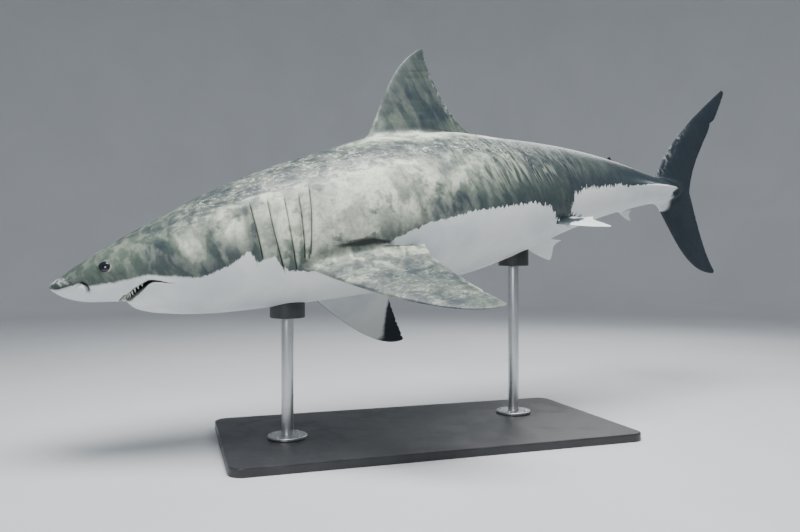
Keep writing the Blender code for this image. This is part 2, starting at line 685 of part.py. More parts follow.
def main():
    for obj in list(bpy.data.objects):
        bpy.data.objects.remove(obj)
    skin = paint("shark_skin", BACK_GREY, 0.45)
    throat = paint("shark_belly", BELLY_WHITE, 0.45)
    glass = paint("shark_eye", EYE_BLACK, 0.08)
    black = paint("stand_paint", STAND_BLACK, 0.40)
    steel = paint("stand_steel", ROD_STEEL, 0.30, metallic=1.0)

    carrier = bpy.data.objects.new("glide", None)
    bpy.context.scene.collection.objects.link(carrier)
    carrier.rotation_euler = (BANK, -PITCH, 0.0)

    snout = (0.0, 0.0, SNOUT_HEIGHT)
    tail_end = (STOCK_END, 0.0, -0.0010)
    grown = body_piece(
        "body_cutter", HEAD_RINGS + GILL_RINGS[1:] + TRUNK_RINGS[1:] + STOCK_RINGS[1:],
        None, carrier, snout, (STOCK_END + 0.0003, 0.0, -0.0010), grow=GAP,
    )
    body = helper(grown)

    head = body_piece("head", HEAD_RINGS, skin, carrier, first_tip=snout)
    jaw = body_piece("lower_jaw", HEAD_RINGS, throat, carrier, first_tip=snout)
    cut(head, mouth_cutter("head_jaw_cutter", True, GAP / TOTAL_LENGTH, carrier))
    cut(jaw, mouth_cutter("jaw_keeper", False, 0.0, carrier), "INTERSECT")
    cut(head, tooth_row("upper_teeth_points", "upper", carrier), "UNION")
    cut(jaw, tooth_row("lower_teeth_points", "lower", carrier), "UNION")
    for side, name in ((-1, "left"), (1, "right")):
        centre = eye_centre(side)
        radius = EYE_RADIUS * TOTAL_LENGTH
        ball(f"eye_{name}", centre, radius, glass, carrier)
        socket = ball(f"socket_{name}", centre, radius + 2 * GAP, None, carrier)
        cut(head, helper(socket))

    gills = body_piece("gill_region", GILL_RINGS, skin, carrier)
    cut(gills, gill_cutter("gill_blades", carrier))
    body_piece("trunk", TRUNK_RINGS, skin, carrier)
    body_piece("tail_stock", STOCK_RINGS, skin, carrier, last_tip=tail_end)

    midline_fin(
        "dorsal_fin_first", FIRST_DORSAL_LEAD, FIRST_DORSAL_TRAIL, FIRST_DORSAL_INSERTION,
        14, skin, carrier, body,
    )
    midline_fin(
        "dorsal_fin_second", SECOND_DORSAL_LEAD, SECOND_DORSAL_TRAIL,
        SECOND_DORSAL_INSERTION, 7, skin, carrier, body, across=6,
    )
    midline_fin(
        "anal_fin", ANAL_LEAD, ANAL_TRAIL, ANAL_INSERTION, 8, throat, carrier, body, across=6,
    )
    tail_fins(skin, carrier, body)
    for name in PAIRED_FINS:
        if name.startswith("pectoral"):
            shape = (PECTORAL_LEAD, PECTORAL_TRAIL, PECTORAL_INSERTION, 15)
        else:
            shape = (PELVIC_LEAD, PELVIC_TRAIL, PELVIC_INSERTION, 9)
        paired_fin(name, *shape, skin, carrier, body)

    settle(carrier)
    stand(carrier, body, black, steel)


main()
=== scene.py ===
"""The finish of a life-size great white shark on its display stand.

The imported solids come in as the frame. One skin with all its folds takes the place of the
flesh, eyes and teeth are set into it, and the stand gets its paint, steel and screws. Shapes
of the body are worked out straight, as shares of the total length, then bent, tilted and set
down where the frame stands.
"""

import math

import bpy
import numpy as np
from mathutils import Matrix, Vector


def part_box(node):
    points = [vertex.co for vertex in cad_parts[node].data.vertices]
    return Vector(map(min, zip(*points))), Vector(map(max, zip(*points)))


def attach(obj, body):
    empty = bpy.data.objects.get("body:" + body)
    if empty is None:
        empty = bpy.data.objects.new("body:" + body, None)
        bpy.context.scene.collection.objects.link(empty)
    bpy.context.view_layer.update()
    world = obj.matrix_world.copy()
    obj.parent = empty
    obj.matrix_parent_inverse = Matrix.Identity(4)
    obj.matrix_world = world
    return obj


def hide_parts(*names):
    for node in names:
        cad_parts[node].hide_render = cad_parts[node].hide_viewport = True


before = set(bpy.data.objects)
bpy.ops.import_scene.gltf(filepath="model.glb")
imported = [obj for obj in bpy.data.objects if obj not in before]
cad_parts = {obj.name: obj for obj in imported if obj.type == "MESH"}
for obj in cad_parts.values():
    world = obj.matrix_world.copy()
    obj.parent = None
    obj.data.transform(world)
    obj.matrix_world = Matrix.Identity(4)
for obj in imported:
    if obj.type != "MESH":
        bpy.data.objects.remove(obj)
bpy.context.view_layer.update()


# ==== The body ====
# A white shark's body is a smooth spindle, deepest ahead of the dorsal fin, with a flat keel
# along each side of the tail stock. The model is a cast shell in one piece from snout to
# tail, so every later piece is laid on this one surface.
LENGTH = 4.2
STATIONS = np.array([  # station, back, belly, half width
    (0.0000, -0.0095, -0.0095, 0.0000),
    (0.0030, -0.0055, -0.0145, 0.0078),
    (0.0120, -0.0008, -0.0215, 0.0172),
    (0.0280, 0.0075, -0.0281, 0.0270),
    (0.0520, 0.0192, -0.0320, 0.0385),
    (0.0640, 0.0243, -0.0334, 0.0432),
    (0.0670, 0.0255, -0.0380, 0.0442),
    (0.0730, 0.0280, -0.0432, 0.0463),
    (0.1000, 0.0385, -0.0524, 0.0545),
    (0.1480, 0.0571, -0.0603, 0.0650),
    (0.2060, 0.0740, -0.0640, 0.0722),
    (0.2700, 0.0862, -0.0668, 0.0752),
    (0.3400, 0.0972, -0.0685, 0.0755),
    (0.4150, 0.0970, -0.0660, 0.0720),
    (0.5000, 0.0858, -0.0545, 0.0600),
    (0.5850, 0.0738, -0.0378, 0.0455),
    (0.6600, 0.0592, -0.0262, 0.0335),
    (0.7200, 0.0442, -0.0205, 0.0255),
    (0.7700, 0.0285, -0.0174, 0.0205),
    (0.8050, 0.0185, -0.0165, 0.0165),
    (0.8450, 0.0090, -0.0110, 0.0080),
    (0.8620, 0.0010, -0.0030, 0.0010),
])
WAIST = 0.47  # height of the widest line, as a share of belly to back
THROAT_FLATNESS, THROAT_STATION, THROAT_REACH = 0.45, 0.085, 0.06
KEEL_HEIGHT, KEEL_STATION, KEEL_WIDTH = 0.0135, 0.800, 0.20
KEEL_RUN_IN, KEEL_RUN_OUT = 0.075, 0.030
BEND_START, BEND_SPAN, BEND_TURN, BEND_RETURN = 0.237, 0.636, 0.863, 0.594
BEND_END = 1.2  # in spans; from here on the spine runs straight
PITCH, BANK = math.radians(9.2), math.radians(-3.0)


def through(x, knots, values):
    """Monotone cubic: each span is a Hermite curve whose end slopes are the weighted harmonic
    mean of the two neighbouring rises, or nought where the rise changes sign."""
    step = np.diff(knots)
    rise = np.diff(values) / step
    slope = np.zeros(len(knots))
    same = rise[1:] * rise[:-1] > 0
    weight_a, weight_b = 2 * step[1:] + step[:-1], step[1:] + 2 * step[:-1]
    safe_a, safe_b = np.where(same, rise[:-1], 1.0), np.where(same, rise[1:], 1.0)
    mean = (weight_a + weight_b) / (weight_a / safe_a + weight_b / safe_b)
    slope[1:-1] = np.where(same, mean, 0.0)
    slope[0], slope[-1] = rise[0], rise[-1]
    i = np.clip(np.searchsorted(knots, x) - 1, 0, len(step) - 1)
    t = (x - knots[i]) / step[i]
    return (
        values[i] * (1 + 2 * t) * (1 - t) ** 2 + step[i] * slope[i] * t * (1 - t) ** 2
        + values[i + 1] * t**2 * (3 - 2 * t) + step[i] * slope[i + 1] * t**2 * (t - 1)
    )


def profile(s):
    """Back, belly and half width at station s, cubic in the square root of the station."""
    knots = np.sqrt(STATIONS[:, 0])
    root = np.sqrt(np.clip(s, 0, STATIONS[-1, 0]))
    return [through(root, knots, STATIONS[:, k]) for k in (1, 2, 3)]


def section_at(s, below):
    """Middle height, half width, half height and the superellipse's power at station s."""
    back, belly, half = profile(s)
    middle = belly + WAIST * (back - belly)
    flat = THROAT_FLATNESS * np.exp(-(((s - THROAT_STATION) / THROAT_REACH) ** 2))
    height = np.where(below, middle - belly, back - middle)
    return middle, np.maximum(half, 1e-5), np.maximum(height, 1e-5), 2 + np.where(below, flat, 0)


def section_beside(s, z):
    """The section at station s, taken on the side of its middle where height z lies."""
    return section_at(s, z < section_at(s, False)[0])


def body(s, v):
    """Surface point at station s and angle v, nought on the back and positive to the right.
    Each section is a superellipse, |y/half|^n + |z/height|^n = 1, squarer under the head, with
    a bell-shaped keel added at the flank."""
    middle, half, height, power = section_at(s, np.cos(v) < 0)
    side = np.sign(np.sin(v)) * np.abs(np.sin(v)) ** (2 / power)
    rise = np.sign(np.cos(v)) * np.abs(np.cos(v)) ** (2 / power)
    off_side = np.arcsin(np.clip(np.abs(np.cos(v)), 0, 1))
    run = np.where(s < KEEL_STATION, KEEL_RUN_IN, KEEL_RUN_OUT)
    keel = KEEL_HEIGHT * np.exp(-(((s - KEEL_STATION) / run) ** 2))
    ridge = keel * np.exp(-((off_side / KEEL_WIDTH) ** 2)) * np.sign(np.sin(v))
    return np.stack([s + 0 * v, half * side + ridge, middle + height * rise], -1)


def unit(vectors):
    """Vectors of length one."""
    return vectors / np.maximum(np.linalg.norm(vectors, axis=-1, keepdims=True), 1e-12)


def outward(s, v):
    """The surface's normal: the cross product of its slopes along and around the body."""
    step = 2e-4
    s = np.maximum(s, 2 * step)
    return unit(np.cross(body(s + step, v) - body(s - step, v), body(s, v + step) - body(s, v - step)))


def beside(points):
    """Station and angle of the surface point on the same ray from the section's middle, and
    how far each point stands outside the surface along that ray."""
    s, y, z = points[..., 0], points[..., 1], points[..., 2]
    middle, half, height, power = section_beside(s, z)
    across, up = np.abs(y) / half, np.abs(z - middle) / height
    scale = np.maximum((across**power + up**power) ** (1 / power), 1e-9)
    turn = np.arctan2(
        np.sign(y) * (across / scale) ** (power / 2),
        np.sign(z - middle) * (up / scale) ** (power / 2),
    )
    return s, turn, np.hypot(y, z - middle) * (1 - 1 / scale)


def smooth(x, low, high):
    """Nought below low, one above high, and the cubic 3t^2 - 2t^3 between."""
    t = np.clip((x - low) / (high - low), 0, 1)
    return t * t * (3 - 2 * t)


def band(x, low, full, fading, gone):
    """Rises smoothly from nought at low to one at full, and falls from fading to gone."""
    return smooth(x, low, full) * (1 - smooth(x, fading, gone))


def bell(x, middle, reach):
    """One at the middle and e to the minus one at a reach to either side."""
    return np.exp(-(((x - middle) / reach) ** 2))


def bent(points):
    """Bends the straight body: the spine's heading is turn*t - return*t^2 along its bending
    stretch, and each section stands square to the spine. Gives metres."""
    s = np.linspace(-0.1, 1.1, 1201)
    t = np.clip((s - BEND_START) / BEND_SPAN, 0, BEND_END)
    heading = BEND_TURN * t - BEND_RETURN * t**2
    step = np.diff(s, prepend=s[0])
    x, y = np.cumsum(np.cos(heading) * step), np.cumsum(np.sin(heading) * step)
    x, y = x - np.interp(0, s, x), y - np.interp(0, s, y)
    p = np.asarray(points, float)
    turn = np.interp(p[..., 0], s, heading)
    at_x, at_y = np.interp(p[..., 0], s, x), np.interp(p[..., 0], s, y)
    placed = [at_x - np.sin(turn) * p[..., 1], at_y + np.cos(turn) * p[..., 1], p[..., 2]]
    return np.stack(placed, -1) * LENGTH


# ==== Eyes: where they sit ====
# Each eye is a glass ball behind the skin. The left one's solid tells where the whole animal
# stands in the frame, since its centre is known on the straight body too.
EYE_STATION, EYE_HEIGHT, EYE_RADIUS, EYE_DEPTH = 0.0532, -0.0006, 0.0085, 0.0070
EYE_AXIS = unit(np.array([-0.25, 1.0, 0.22]))
SETTLING = (0.00018, 0.00016, 0.0)  # metres; the faceted eye's box sits a hair off the true ball


def flank_at(s, z, side):
    """The surface point at station s and height z on one flank, off the superellipse."""
    middle, half, height, power = section_beside(s, z)
    lean = np.clip(np.abs(z - middle) / height, 0, 1)
    y = half * (1 - lean**power) ** (1 / power)
    return np.stack(np.broadcast_arrays(s, side * y, z), -1)


eye_seat = {side: flank_at(EYE_STATION, EYE_HEIGHT, side) for side in (-1, 1)}
eye_axis = {side: EYE_AXIS * (1, side, 1) for side in (-1, 1)}
eye_centre = {side: eye_seat[side] - eye_axis[side] * EYE_DEPTH for side in (-1, 1)}


def turned_about(axis, angle):
    """The matrix that turns points about axis 0, 1 or 2 by an angle, by the right-hand rule."""
    i, j = (axis + 1) % 3, (axis + 2) % 3
    turn = np.eye(3)
    turn[i, i] = turn[j, j] = math.cos(angle)
    turn[i, j], turn[j, i] = -math.sin(angle), math.sin(angle)
    return turn


glide = turned_about(1, -PITCH) @ turned_about(0, BANK)
eye_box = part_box("eye_left")
eye_place = (np.array(eye_box[0]) + np.array(eye_box[1])) / 2
glide_place = eye_place - glide @ bent(eye_centre[-1]) + SETTLING


def placed(points):
    """Straight-body points bent, turned by the glide's pitch and bank, and set in the frame."""
    return bent(points) @ glide.T + glide_place


# ==== Folds of the skin ====
# The hide swells over the jaw muscle, the cheek, the brow and each gill's flap, and dips
# behind the eye and at the five slits. These are height changes of a few millimetres along
# its normal.
GILL_SLITS = np.array((  # (station, height) at the top, the middle and the foot
    ((0.1870, 0.0362), (0.1880, 0.0160), (0.1900, -0.0200)),
    ((0.2035, 0.0378), (0.2040, 0.0015), (0.2087, -0.0332)),
    ((0.2190, 0.0375), (0.2185, -0.0033), (0.2200, -0.0337)),
    ((0.2328, 0.0378), (0.2300, 0.0000), (0.2277, -0.0290)),
    ((0.2434, 0.0440), (0.2399, 0.0150), (0.2330, -0.0255)),
))
GROOVE_DEPTH, GROOVE_WIDTH, FLAP_RISE, FLAP_REACH = 0.0030, 0.00045, 0.0015, 0.0095
STEP_DROP, STEP_REACH = 0.0008, 0.0070  # the skin behind a slit lies lower and climbs back
GILL_SIDE = 0.02  # the slits are cut on the flanks only, this far off the midline
SWELLINGS = (  # rise, station and its reach, height and its reach
    (0.0017, 0.090, 0.015, -0.0370, 0.0095),  # jaw muscle
    (0.0006, 0.052, 0.013, 0.0085, 0.0035),  # brow
    (-0.0006, 0.070, 0.010, 0.0020, 0.0070),  # hollow behind the eye
    (0.0007, 0.118, 0.022, 0.0100, 0.0220),  # cheek
)


def slit_station(k, z):
    """Station of gill slit k at height z: a parabola through its three points."""
    t = np.linspace(0, 1, 40)
    weights = np.stack([(1 - t) * (1 - 2 * t), 4 * t * (1 - t), t * (2 * t - 1)], 1)
    line = (weights @ GILL_SLITS[k])[::-1]
    return np.interp(z, line[:, 1], line[:, 0])


def slit_window(k, z):
    """One along the slit and fading to nought at its two ends."""
    foot, top = GILL_SLITS[k, 2, 1], GILL_SLITS[k, 0, 1]
    return band(z, foot - 0.001, foot + 0.006, top - 0.006, top + 0.001)


def spots(table, s, z):
    """Sum of soft spots: each is its size times a bell along the body and a bell up it."""
    total = 0
    for size, station, along, height, upward in table:
        total = total + size * bell(s, station, along) * bell(z, height, upward)
    return total


def relief(points):
    """Height of the folds at surface points: the jaw and brow are bells, each gill flap rises
    smoothly to its free edge, and the slit behind it is a narrow bell-shaped groove."""
    s, y, z = points[..., 0], np.abs(points[..., 1]), points[..., 2]
    fold = spots(SWELLINGS, s, z) * smooth(y, 0.012, 0.030)
    for k in range(len(GILL_SLITS)):
        past = s - slit_station(k, z)
        window = slit_window(k, z) * (y > GILL_SIDE)
        flap = FLAP_RISE * band(past, -FLAP_REACH, -0.0009, -0.00045, 0.0)
        step = STEP_DROP * band(past, 0.0, 0.0004, 0.0008, STEP_REACH)
        fold = fold + window * (flap - step - GROOVE_DEPTH * bell(past, 0.0001, GROOVE_WIDTH))
    return fold


def skin(s, v, lift=0.0):
    """The folded surface at station s and angle v, raised by lift along the normal."""
    point = body(s, v)
    return point + outward(s, v) * (relief(point) + lift)[..., None]


def laid(points, lift):
    """Points carried straight onto the folded surface, then raised by lift."""
    s, v, _ = beside(points)
    return skin(s, v, lift)


# ==== Mouth ====
# The mouth is a long slot low on each side of the head that meets under the snout. Its lips
# roll inwards over the gums into the throat, painted near-black as shade, and a crease runs on
# behind each corner.
LIPS = np.array([  # station, upper and lower lip
    (0.0600, -0.0420, -0.0600),
    (0.0691, -0.0286, -0.0430),
    (0.0733, -0.0252, -0.0352),
    (0.0757, -0.0240, -0.0315),
    (0.0803, -0.0223, -0.0284),
    (0.0843, -0.0206, -0.0257),
    (0.0883, -0.0191, -0.0227),
    (0.0930, -0.0199, -0.0216),
    (0.0985, -0.0217, -0.0228),
    (0.1060, -0.0249, -0.0249),
])
MOUTH_BOW, MOUTH_HALF_WIDTH = 0.0090, 0.0420
MOUTH_DEPTH, LIP_ROLL, LIP_REACH = 0.0100, 0.0010, 0.0092
PATCH_LIFT, PATCH_SINK = 0.00003, 0.00010  # every patch lies just on the shell; its border dives
FRONT_GAPE, FRONT_REACH = 0.30, (0.008, 0.036)  # the mouth is all but shut across the front
CREASE = (0.0150, -0.0042)  # how far the strip runs on behind the corner, and drops
CREASE_SHARE = 0.52  # of that run, the part that is creased
LIP_SAMPLES, CREASE_SAMPLES = 112, 18
LIP_ROWS = (1.0, 0.90, 0.78, 0.65, 0.52, 0.40, 0.29, 0.20, 0.14)  # shares of the lip's reach
RIDGE_RISE, RIDGE_OFF, RIDGE_REACH = 0.00045, 0.0012, 0.0018  # a low ridge along each lip
FULL_GAPE = 0.0045  # a gape of this much opens the throat to its full depth
CREASE_DEPTH, SHELL_DEPTH = 0.0018, 0.0032  # of the crease, and of the shell drawn back below it
ROOM_STRETCH = 1.25  # the shell draws back this much further above and below the lips than behind
THROAT_WALL = ((0.3, 0.04), (0.6, 0.16), (0.85, 0.32), (1.0, 0.5))  # share of depth, and closed


def bow(y):
    """How far ahead of its side-view line the mouth runs: a parabola across the head."""
    return MOUTH_BOW * np.clip(1 - (y / MOUTH_HALF_WIDTH) ** 2, 0, 1)


def lip_height(station, column, y=MOUTH_HALF_WIDTH):
    """Height of the upper (1) or lower (2) lip; the lower one closes up towards the midline."""
    upper = np.interp(station, LIPS[:, 0], LIPS[:, 1])
    gape = upper - np.interp(station, LIPS[:, 0], LIPS[:, 2])
    share = FRONT_GAPE + (1 - FRONT_GAPE) * smooth(np.abs(y), *FRONT_REACH)
    return upper - (column - 1) * gape * share


def travelled(line):
    """Distance along a line of points, up to each of them."""
    return np.concatenate([[0], np.cumsum(np.linalg.norm(np.diff(line, axis=0), axis=1))])


def point_at(line, distance):
    """Points at given distances along a line of points, straight between its own."""
    return np.stack([np.interp(distance, travelled(line), line[:, k]) for k in range(3)], -1)


def lip_line(column):
    """A whole lip from the left corner round the front to the right corner, evenly spaced. Its
    distance off the midline at each station is found by halving intervals on the surface."""
    stations = np.linspace(LIPS[0, 0], LIPS[-1, 0], 4000)
    heights = lip_height(stations, column, 0.0)
    on_skin = heights > profile(stations - MOUTH_BOW)[1]
    front = stations[np.argmax(on_skin)]
    q = front + (LIPS[-1, 0] - front) * np.linspace(0, 1, 500) ** 2
    low, high = np.zeros_like(q), np.full_like(q, 0.08)
    for _ in range(40):
        y = (low + high) / 2
        inside = flank_at(q - bow(y), lip_height(q, column, y), 1)[:, 1] > y
        low, high = np.where(inside, y, low), np.where(inside, high, y)
    half = np.stack([q - bow(low), low, lip_height(q, column, low)], 1)
    half[0, 1] = 0.0
    half = point_at(half, np.linspace(0, travelled(half)[-1], LIP_SAMPLES))
    return np.concatenate([half[:0:-1] * (1, -1, 1), half])


def creased(line):
    """The lip with the crease added behind both corners."""
    run = np.linspace(0, 1, CREASE_SAMPLES + 1)[1:, None]
    corner = line[-1]
    back = corner + run * (CREASE[0], 0, 0) + run**1.5 * (0, 0, CREASE[1])
    back = flank_at(back[:, 0], back[:, 2], 1)
    return np.concatenate([back[::-1] * (1, -1, 1), line, back])


upper_lip, lower_lip = lip_line(1), lip_line(2)


def mouth_skin():
    """A strip along the lips: laid on the skin outside each lip, a quarter round over it, and
    walls that close in on each other towards the throat. The strip narrows to the crease."""
    upper, lower = creased(upper_lip), creased(lower_lip)
    gap = lower - upper
    width = np.linalg.norm(gap, axis=1)
    run = np.linspace(0, 1, CREASE_SAMPLES + 1)[1:]
    level = np.ones(len(upper) - 2 * CREASE_SAMPLES)
    fade, end = 1 - smooth(run, 0, CREASE_SHARE), smooth(run, 0.80, 1.0)
    live = np.concatenate([fade[::-1], level, fade])
    sunk = np.concatenate([end[::-1], 0 * level, end])
    shown = smooth(live, 0.02, 0.5)
    deep = np.maximum(MOUTH_DEPTH * smooth(width, 0.0, FULL_GAPE), CREASE_DEPTH) * live
    along = unit(np.gradient(upper + lower, axis=0))
    columns, hollow = [], []
    turn = np.linspace(0, math.pi / 2, 6)
    for line, sign, other in ((upper, -1, gap), (lower, 1, -gap)):
        s, v, _ = beside(line)
        normal = outward(s, v)
        across = unit(np.cross(normal, along)) * sign
        roll = LIP_ROLL * (0.25 + 0.75 * live)
        part, dark = [], []
        for d in LIP_REACH * np.array(LIP_ROWS):
            edge_sink = PATCH_SINK * np.maximum(smooth(d, 0.65 * LIP_REACH, LIP_REACH), sunk)
            ridge = RIDGE_RISE * bell(d, RIDGE_OFF, RIDGE_REACH) * live
            part.append(laid(line + across * d, PATCH_LIFT + ridge - edge_sink))
            dark.append(0 * live)
        # The roll over each lip and the walls inside are painted dark as shade, darkest deep in the
        # throat.
        for a in turn:
            edge = line + across * (roll * (1 - math.sin(a)))[:, None]
            lift = PATCH_LIFT + RIDGE_RISE * live - roll * (1 - math.cos(a)) * live
            part.append(laid(edge, lift - PATCH_SINK * sunk))
            dark.append(smooth(a, 0.3, 1.5) * 0.55 * shown)
        for share, close in THROAT_WALL:
            drop = np.maximum(deep * share, roll * live) - RIDGE_RISE * live + PATCH_SINK * sunk
            part.append(laid(line, PATCH_LIFT - drop) + other * close)
            dark.append((0.55 + 0.45 * smooth(share, 0.1, 0.7)) * shown)
        if sign > 0:
            part, dark = part[::-1], dark[::-1]
        columns += part
        hollow += dark
    return np.stack(columns, 1), np.stack(hollow, 1)


def mouth_room(points):
    """How far the plain shell must draw back beneath the lips and the open mouth."""
    s, y, z = points[..., 0], points[..., 1], points[..., 2]
    q = s + bow(y)
    upper, lower = lip_height(q, 1, y), lip_height(q, 2, y)
    beyond = np.maximum(np.maximum(z - upper, lower - z), 0) / ROOM_STRETCH
    behind = np.maximum(q - LIPS[-1, 0], 0)
    gap = np.clip((upper - lower) / FULL_GAPE, 0.0, 1)
    depth = SHELL_DEPTH + MOUTH_DEPTH * gap * (q > LIPS[0, 0])
    crease = (z - LIPS[-1, 1]) - CREASE[1] * np.clip(behind / CREASE[0], 0, 1) ** 1.5
    past_crease = np.maximum(behind - CREASE_SHARE * CREASE[0], 0)
    far = np.hypot(np.where(behind > 0, crease, beyond), past_crease)
    return depth * (1 - smooth(far, 0.0010, 0.0050)) * (z < 0)


# ==== Lids and nostrils ====
# A white shark has no eyelids to speak of, only a firm rim of skin that hugs the ball. The
# nostril is a curved slit under the snout with a small pointed flap of skin across it.
RIM_RADII = np.array([
    0.00455, 0.0046, 0.0047, 0.0049, 0.0052, 0.0056, 0.0061, 0.0067, 0.0074, 0.0082, 0.0091,
    0.0101, 0.0112, 0.0123, 0.0134,
])
RIM_OFF_BALL, RIM_RISE, RIM_DIVE, WIDEST_ON_BALL = 0.00035, 0.00055, 0.0016, 0.0080
RIM_CREST, RIM_CREST_REACH = 0.0057, 0.0010  # where the ridge round the eye is highest
NOSTRIL_SEAT, NOSTRIL_RADIUS = (0.0322, -0.0160), 0.0104
NOSTRIL_SLIT = np.array([
    (0.0264, -0.0122), (0.0286, -0.0112), (0.0312, -0.0112), (0.0336, -0.0132),
    (0.0352, -0.0162), (0.0358, -0.0190),
])
NOSTRIL_FLAP = np.array([
    (0.0276, -0.0150), (0.0322, -0.0138), (0.0350, -0.0215), (0.0318, -0.0198),
])
NOSTRIL_DEPTH, NOSTRIL_WIDTH, FLAP_LIFT = 0.0034, 0.00090, 0.0017


def rings(radii, around):
    """Radius and turn of points spaced evenly round rings, one row for each ring."""
    turn = np.linspace(0, 2 * math.pi, around, endpoint=False)
    return np.meshgrid(radii, turn, indexing="ij")


def round_eye(side, turn):
    """Directions square to the eye's axis at each turn about it, counted from the tail's."""
    axis = eye_axis[side]
    back = unit(np.array([1.0, 0, 0]) - axis * axis[0])
    return np.cos(turn)[..., None] * back + np.sin(turn)[..., None] * np.cross(back, axis)


def eye_rim(side):
    """Rings round the eye: the inner ones stand just off the ball, the outer ones lie on the
    skin, with a low round ridge between; the innermost dives under the ball's surface."""
    radius, turn = rings(RIM_RADII, 56)
    flat = eye_seat[side] + radius[..., None] * round_eye(side, turn)
    ball = -EYE_DEPTH + np.sqrt(EYE_RADIUS**2 - np.minimum(radius, WIDEST_ON_BALL) ** 2)
    on_ball = flat + eye_axis[side] * (ball + RIM_OFF_BALL)[..., None]
    on_skin = laid(flat, 0.0 * radius)
    share = smooth(radius, 0.0047, 0.0072)[..., None]
    rim = on_ball * (1 - share) + on_skin * share
    ridge = RIM_RISE * bell(radius, RIM_CREST, RIM_CREST_REACH)
    ridge = ridge - RIM_DIVE * (1 - smooth(radius, RIM_RADII[0], 0.0047))
    ridge = ridge + PATCH_LIFT - PATCH_SINK * smooth(radius, 0.0088, RIM_RADII[-1])
    return rim + eye_axis[side] * ridge[..., None]


def from_line(a, b, line):
    """Distance from points (a, b) to an open line of straight pieces."""
    best = np.full(np.shape(a), 1e9)
    for start, end in zip(line[:-1], line[1:]):
        run = end - start
        t = np.clip(((a - start[0]) * run[0] + (b - start[1]) * run[1]) / (run @ run), 0, 1)
        best = np.minimum(best, np.hypot(a - start[0] - t * run[0], b - start[1] - t * run[1]))
    return best


def within(a, b, corners):
    """Signed distance inside a convex outline, positive within."""
    middle = corners.mean(0)
    best = np.full(np.shape(a), 1e9)
    for start, end in zip(corners, np.roll(corners, -1, axis=0)):
        across = np.array([end[1] - start[1], start[0] - end[0]]) / np.linalg.norm(end - start)
        across *= np.sign((middle - start) @ across)
        best = np.minimum(best, (a - start[0]) * across[0] + (b - start[1]) * across[1])
    return best


def nostril(side):
    """A disc of skin with the slit sunk into it as a bell-shaped groove and the flap raised."""
    radius, turn = rings(NOSTRIL_RADIUS * np.linspace(0, 1, 27)[1:], 68)
    a = NOSTRIL_SEAT[0] + radius * np.cos(turn)
    b = NOSTRIL_SEAT[1] + radius * np.sin(turn) * 0.95
    slit = bell(from_line(a, b, NOSTRIL_SLIT), 0, NOSTRIL_WIDTH)
    flap = smooth(within(a, b, NOSTRIL_FLAP), -0.0003, 0.0007)
    lift = FLAP_LIFT * flap - NOSTRIL_DEPTH * slit * (1 - flap) + PATCH_LIFT
    lift = lift - PATCH_SINK * smooth(radius, 0.0070, NOSTRIL_RADIUS)
    return laid(flank_at(a, b, side), lift), slit * (1 - flap), flap


def soft_room(points):
    """How far the plain shell draws back beneath the eye rims and the nostril discs."""
    room = np.zeros(points.shape[:-1])
    for side in (-1, 1):
        nostril_seat = flank_at(*np.array(NOSTRIL_SEAT), side)
        for seat, depth, near, far in (
            (eye_seat[side], 0.0100, 0.0056, 0.0086), (nostril_seat, 0.0046, 0.0040, 0.0072),
        ):
            off = np.linalg.norm(points - seat, axis=-1)
            room = np.maximum(room, depth * (1 - smooth(off, near, far)))
    return room


# ==== Markings ====
# Slate above and white below, parted by a ragged line from the snout to the keels. The line
# is level with the mouth on the head, dips to the pectoral fin and drops to the pelvic fin.
LINE = np.array([  # station, height
    (0.000, -0.0110), (0.007, -0.0135), (0.019, -0.0125), (0.029, -0.0110), (0.036, -0.0155),
    (0.062, -0.0160), (0.088, -0.0145), (0.103, -0.0180), (0.133, -0.0245), (0.155, -0.0195),
    (0.179, -0.0080), (0.185, -0.0190), (0.201, -0.0170), (0.207, -0.0280), (0.223, -0.0345),
    (0.240, -0.0300), (0.260, -0.0220), (0.301, -0.0210), (0.349, -0.0070), (0.409, -0.0010),
    (0.487, 0.0000), (0.514, -0.0035), (0.531, -0.0165), (0.544, -0.0240), (0.559, -0.0280),
    (0.565, -0.0030), (0.574, 0.0080), (0.586, 0.0110), (0.628, 0.0115), (0.677, 0.0105),
    (0.765, 0.0075), (0.805, 0.0060), (0.813, 0.0045), (0.820, -0.0050), (0.827, -0.0200),
    (0.900, -0.0300),
])
PATCH = (0.5690, -0.0238, 0.0180, 0.0058)  # dark foot over the pelvic fin: place and reaches
DIP_STATION, DIP_DEPTH, DIP_REACH = 0.2720, 0.0165, 0.0420  # the line's dip to the right fin
# The armpit lens is painted shadow of the crease where the left fin meets the body, and stands in part
# for the dark armpit spot of many white sharks.
ARMPIT = (0.2850, -0.0160, 0.0310, 0.0037)  # dark lens over the left fin's root: place and reaches
ARMPIT_ARCH = 8.5  # the lens droops behind its middle by this much times the distance squared
RIGHT_ROOT = (0.0042, -0.0107)  # the right fin's root against the left's: further back, and lower
# The blotches are partly the skin's own mottling and partly painted sunlight from water ripples.
BLOTCHES = (  # pale or, below nought, dusky: strength, station and its reach, height and its reach
    (0.60, 0.130, 0.009, 0.013, 0.016),
    (0.60, 0.165, 0.011, 0.017, 0.013),
    (-0.40, 0.147, 0.007, 0.003, 0.018),
    (0.12, 0.045, 0.030, -0.009, 0.008),
    (0.40, 0.268, 0.022, -0.029, 0.008),
)


def above_line(s, y, z):
    """Distance above the colour line: the height over it, shortened where the line is steep.
    The right side's line runs a little ahead of the left's, as no animal is alike on both."""
    at = s + 0.006 * smooth(y, -0.01, 0.01) * smooth(s, 0.05, 0.2)
    line = np.interp(at, LINE[:, 0], LINE[:, 1])
    line = line - DIP_DEPTH * bell(at, DIP_STATION, DIP_REACH) * smooth(y, 0.0, 0.02)
    fine = np.linspace(0, 0.9, 1801)
    steep = np.abs(np.gradient(np.interp(fine, LINE[:, 0], LINE[:, 1]), fine))
    above = (z - line) / np.sqrt(1 + np.interp(at, fine, steep) ** 2)
    off = np.hypot((at - PATCH[0]) / PATCH[2], (z - PATCH[1]) / PATCH[3])
    return np.maximum(above, (1 - off) * PATCH[3])


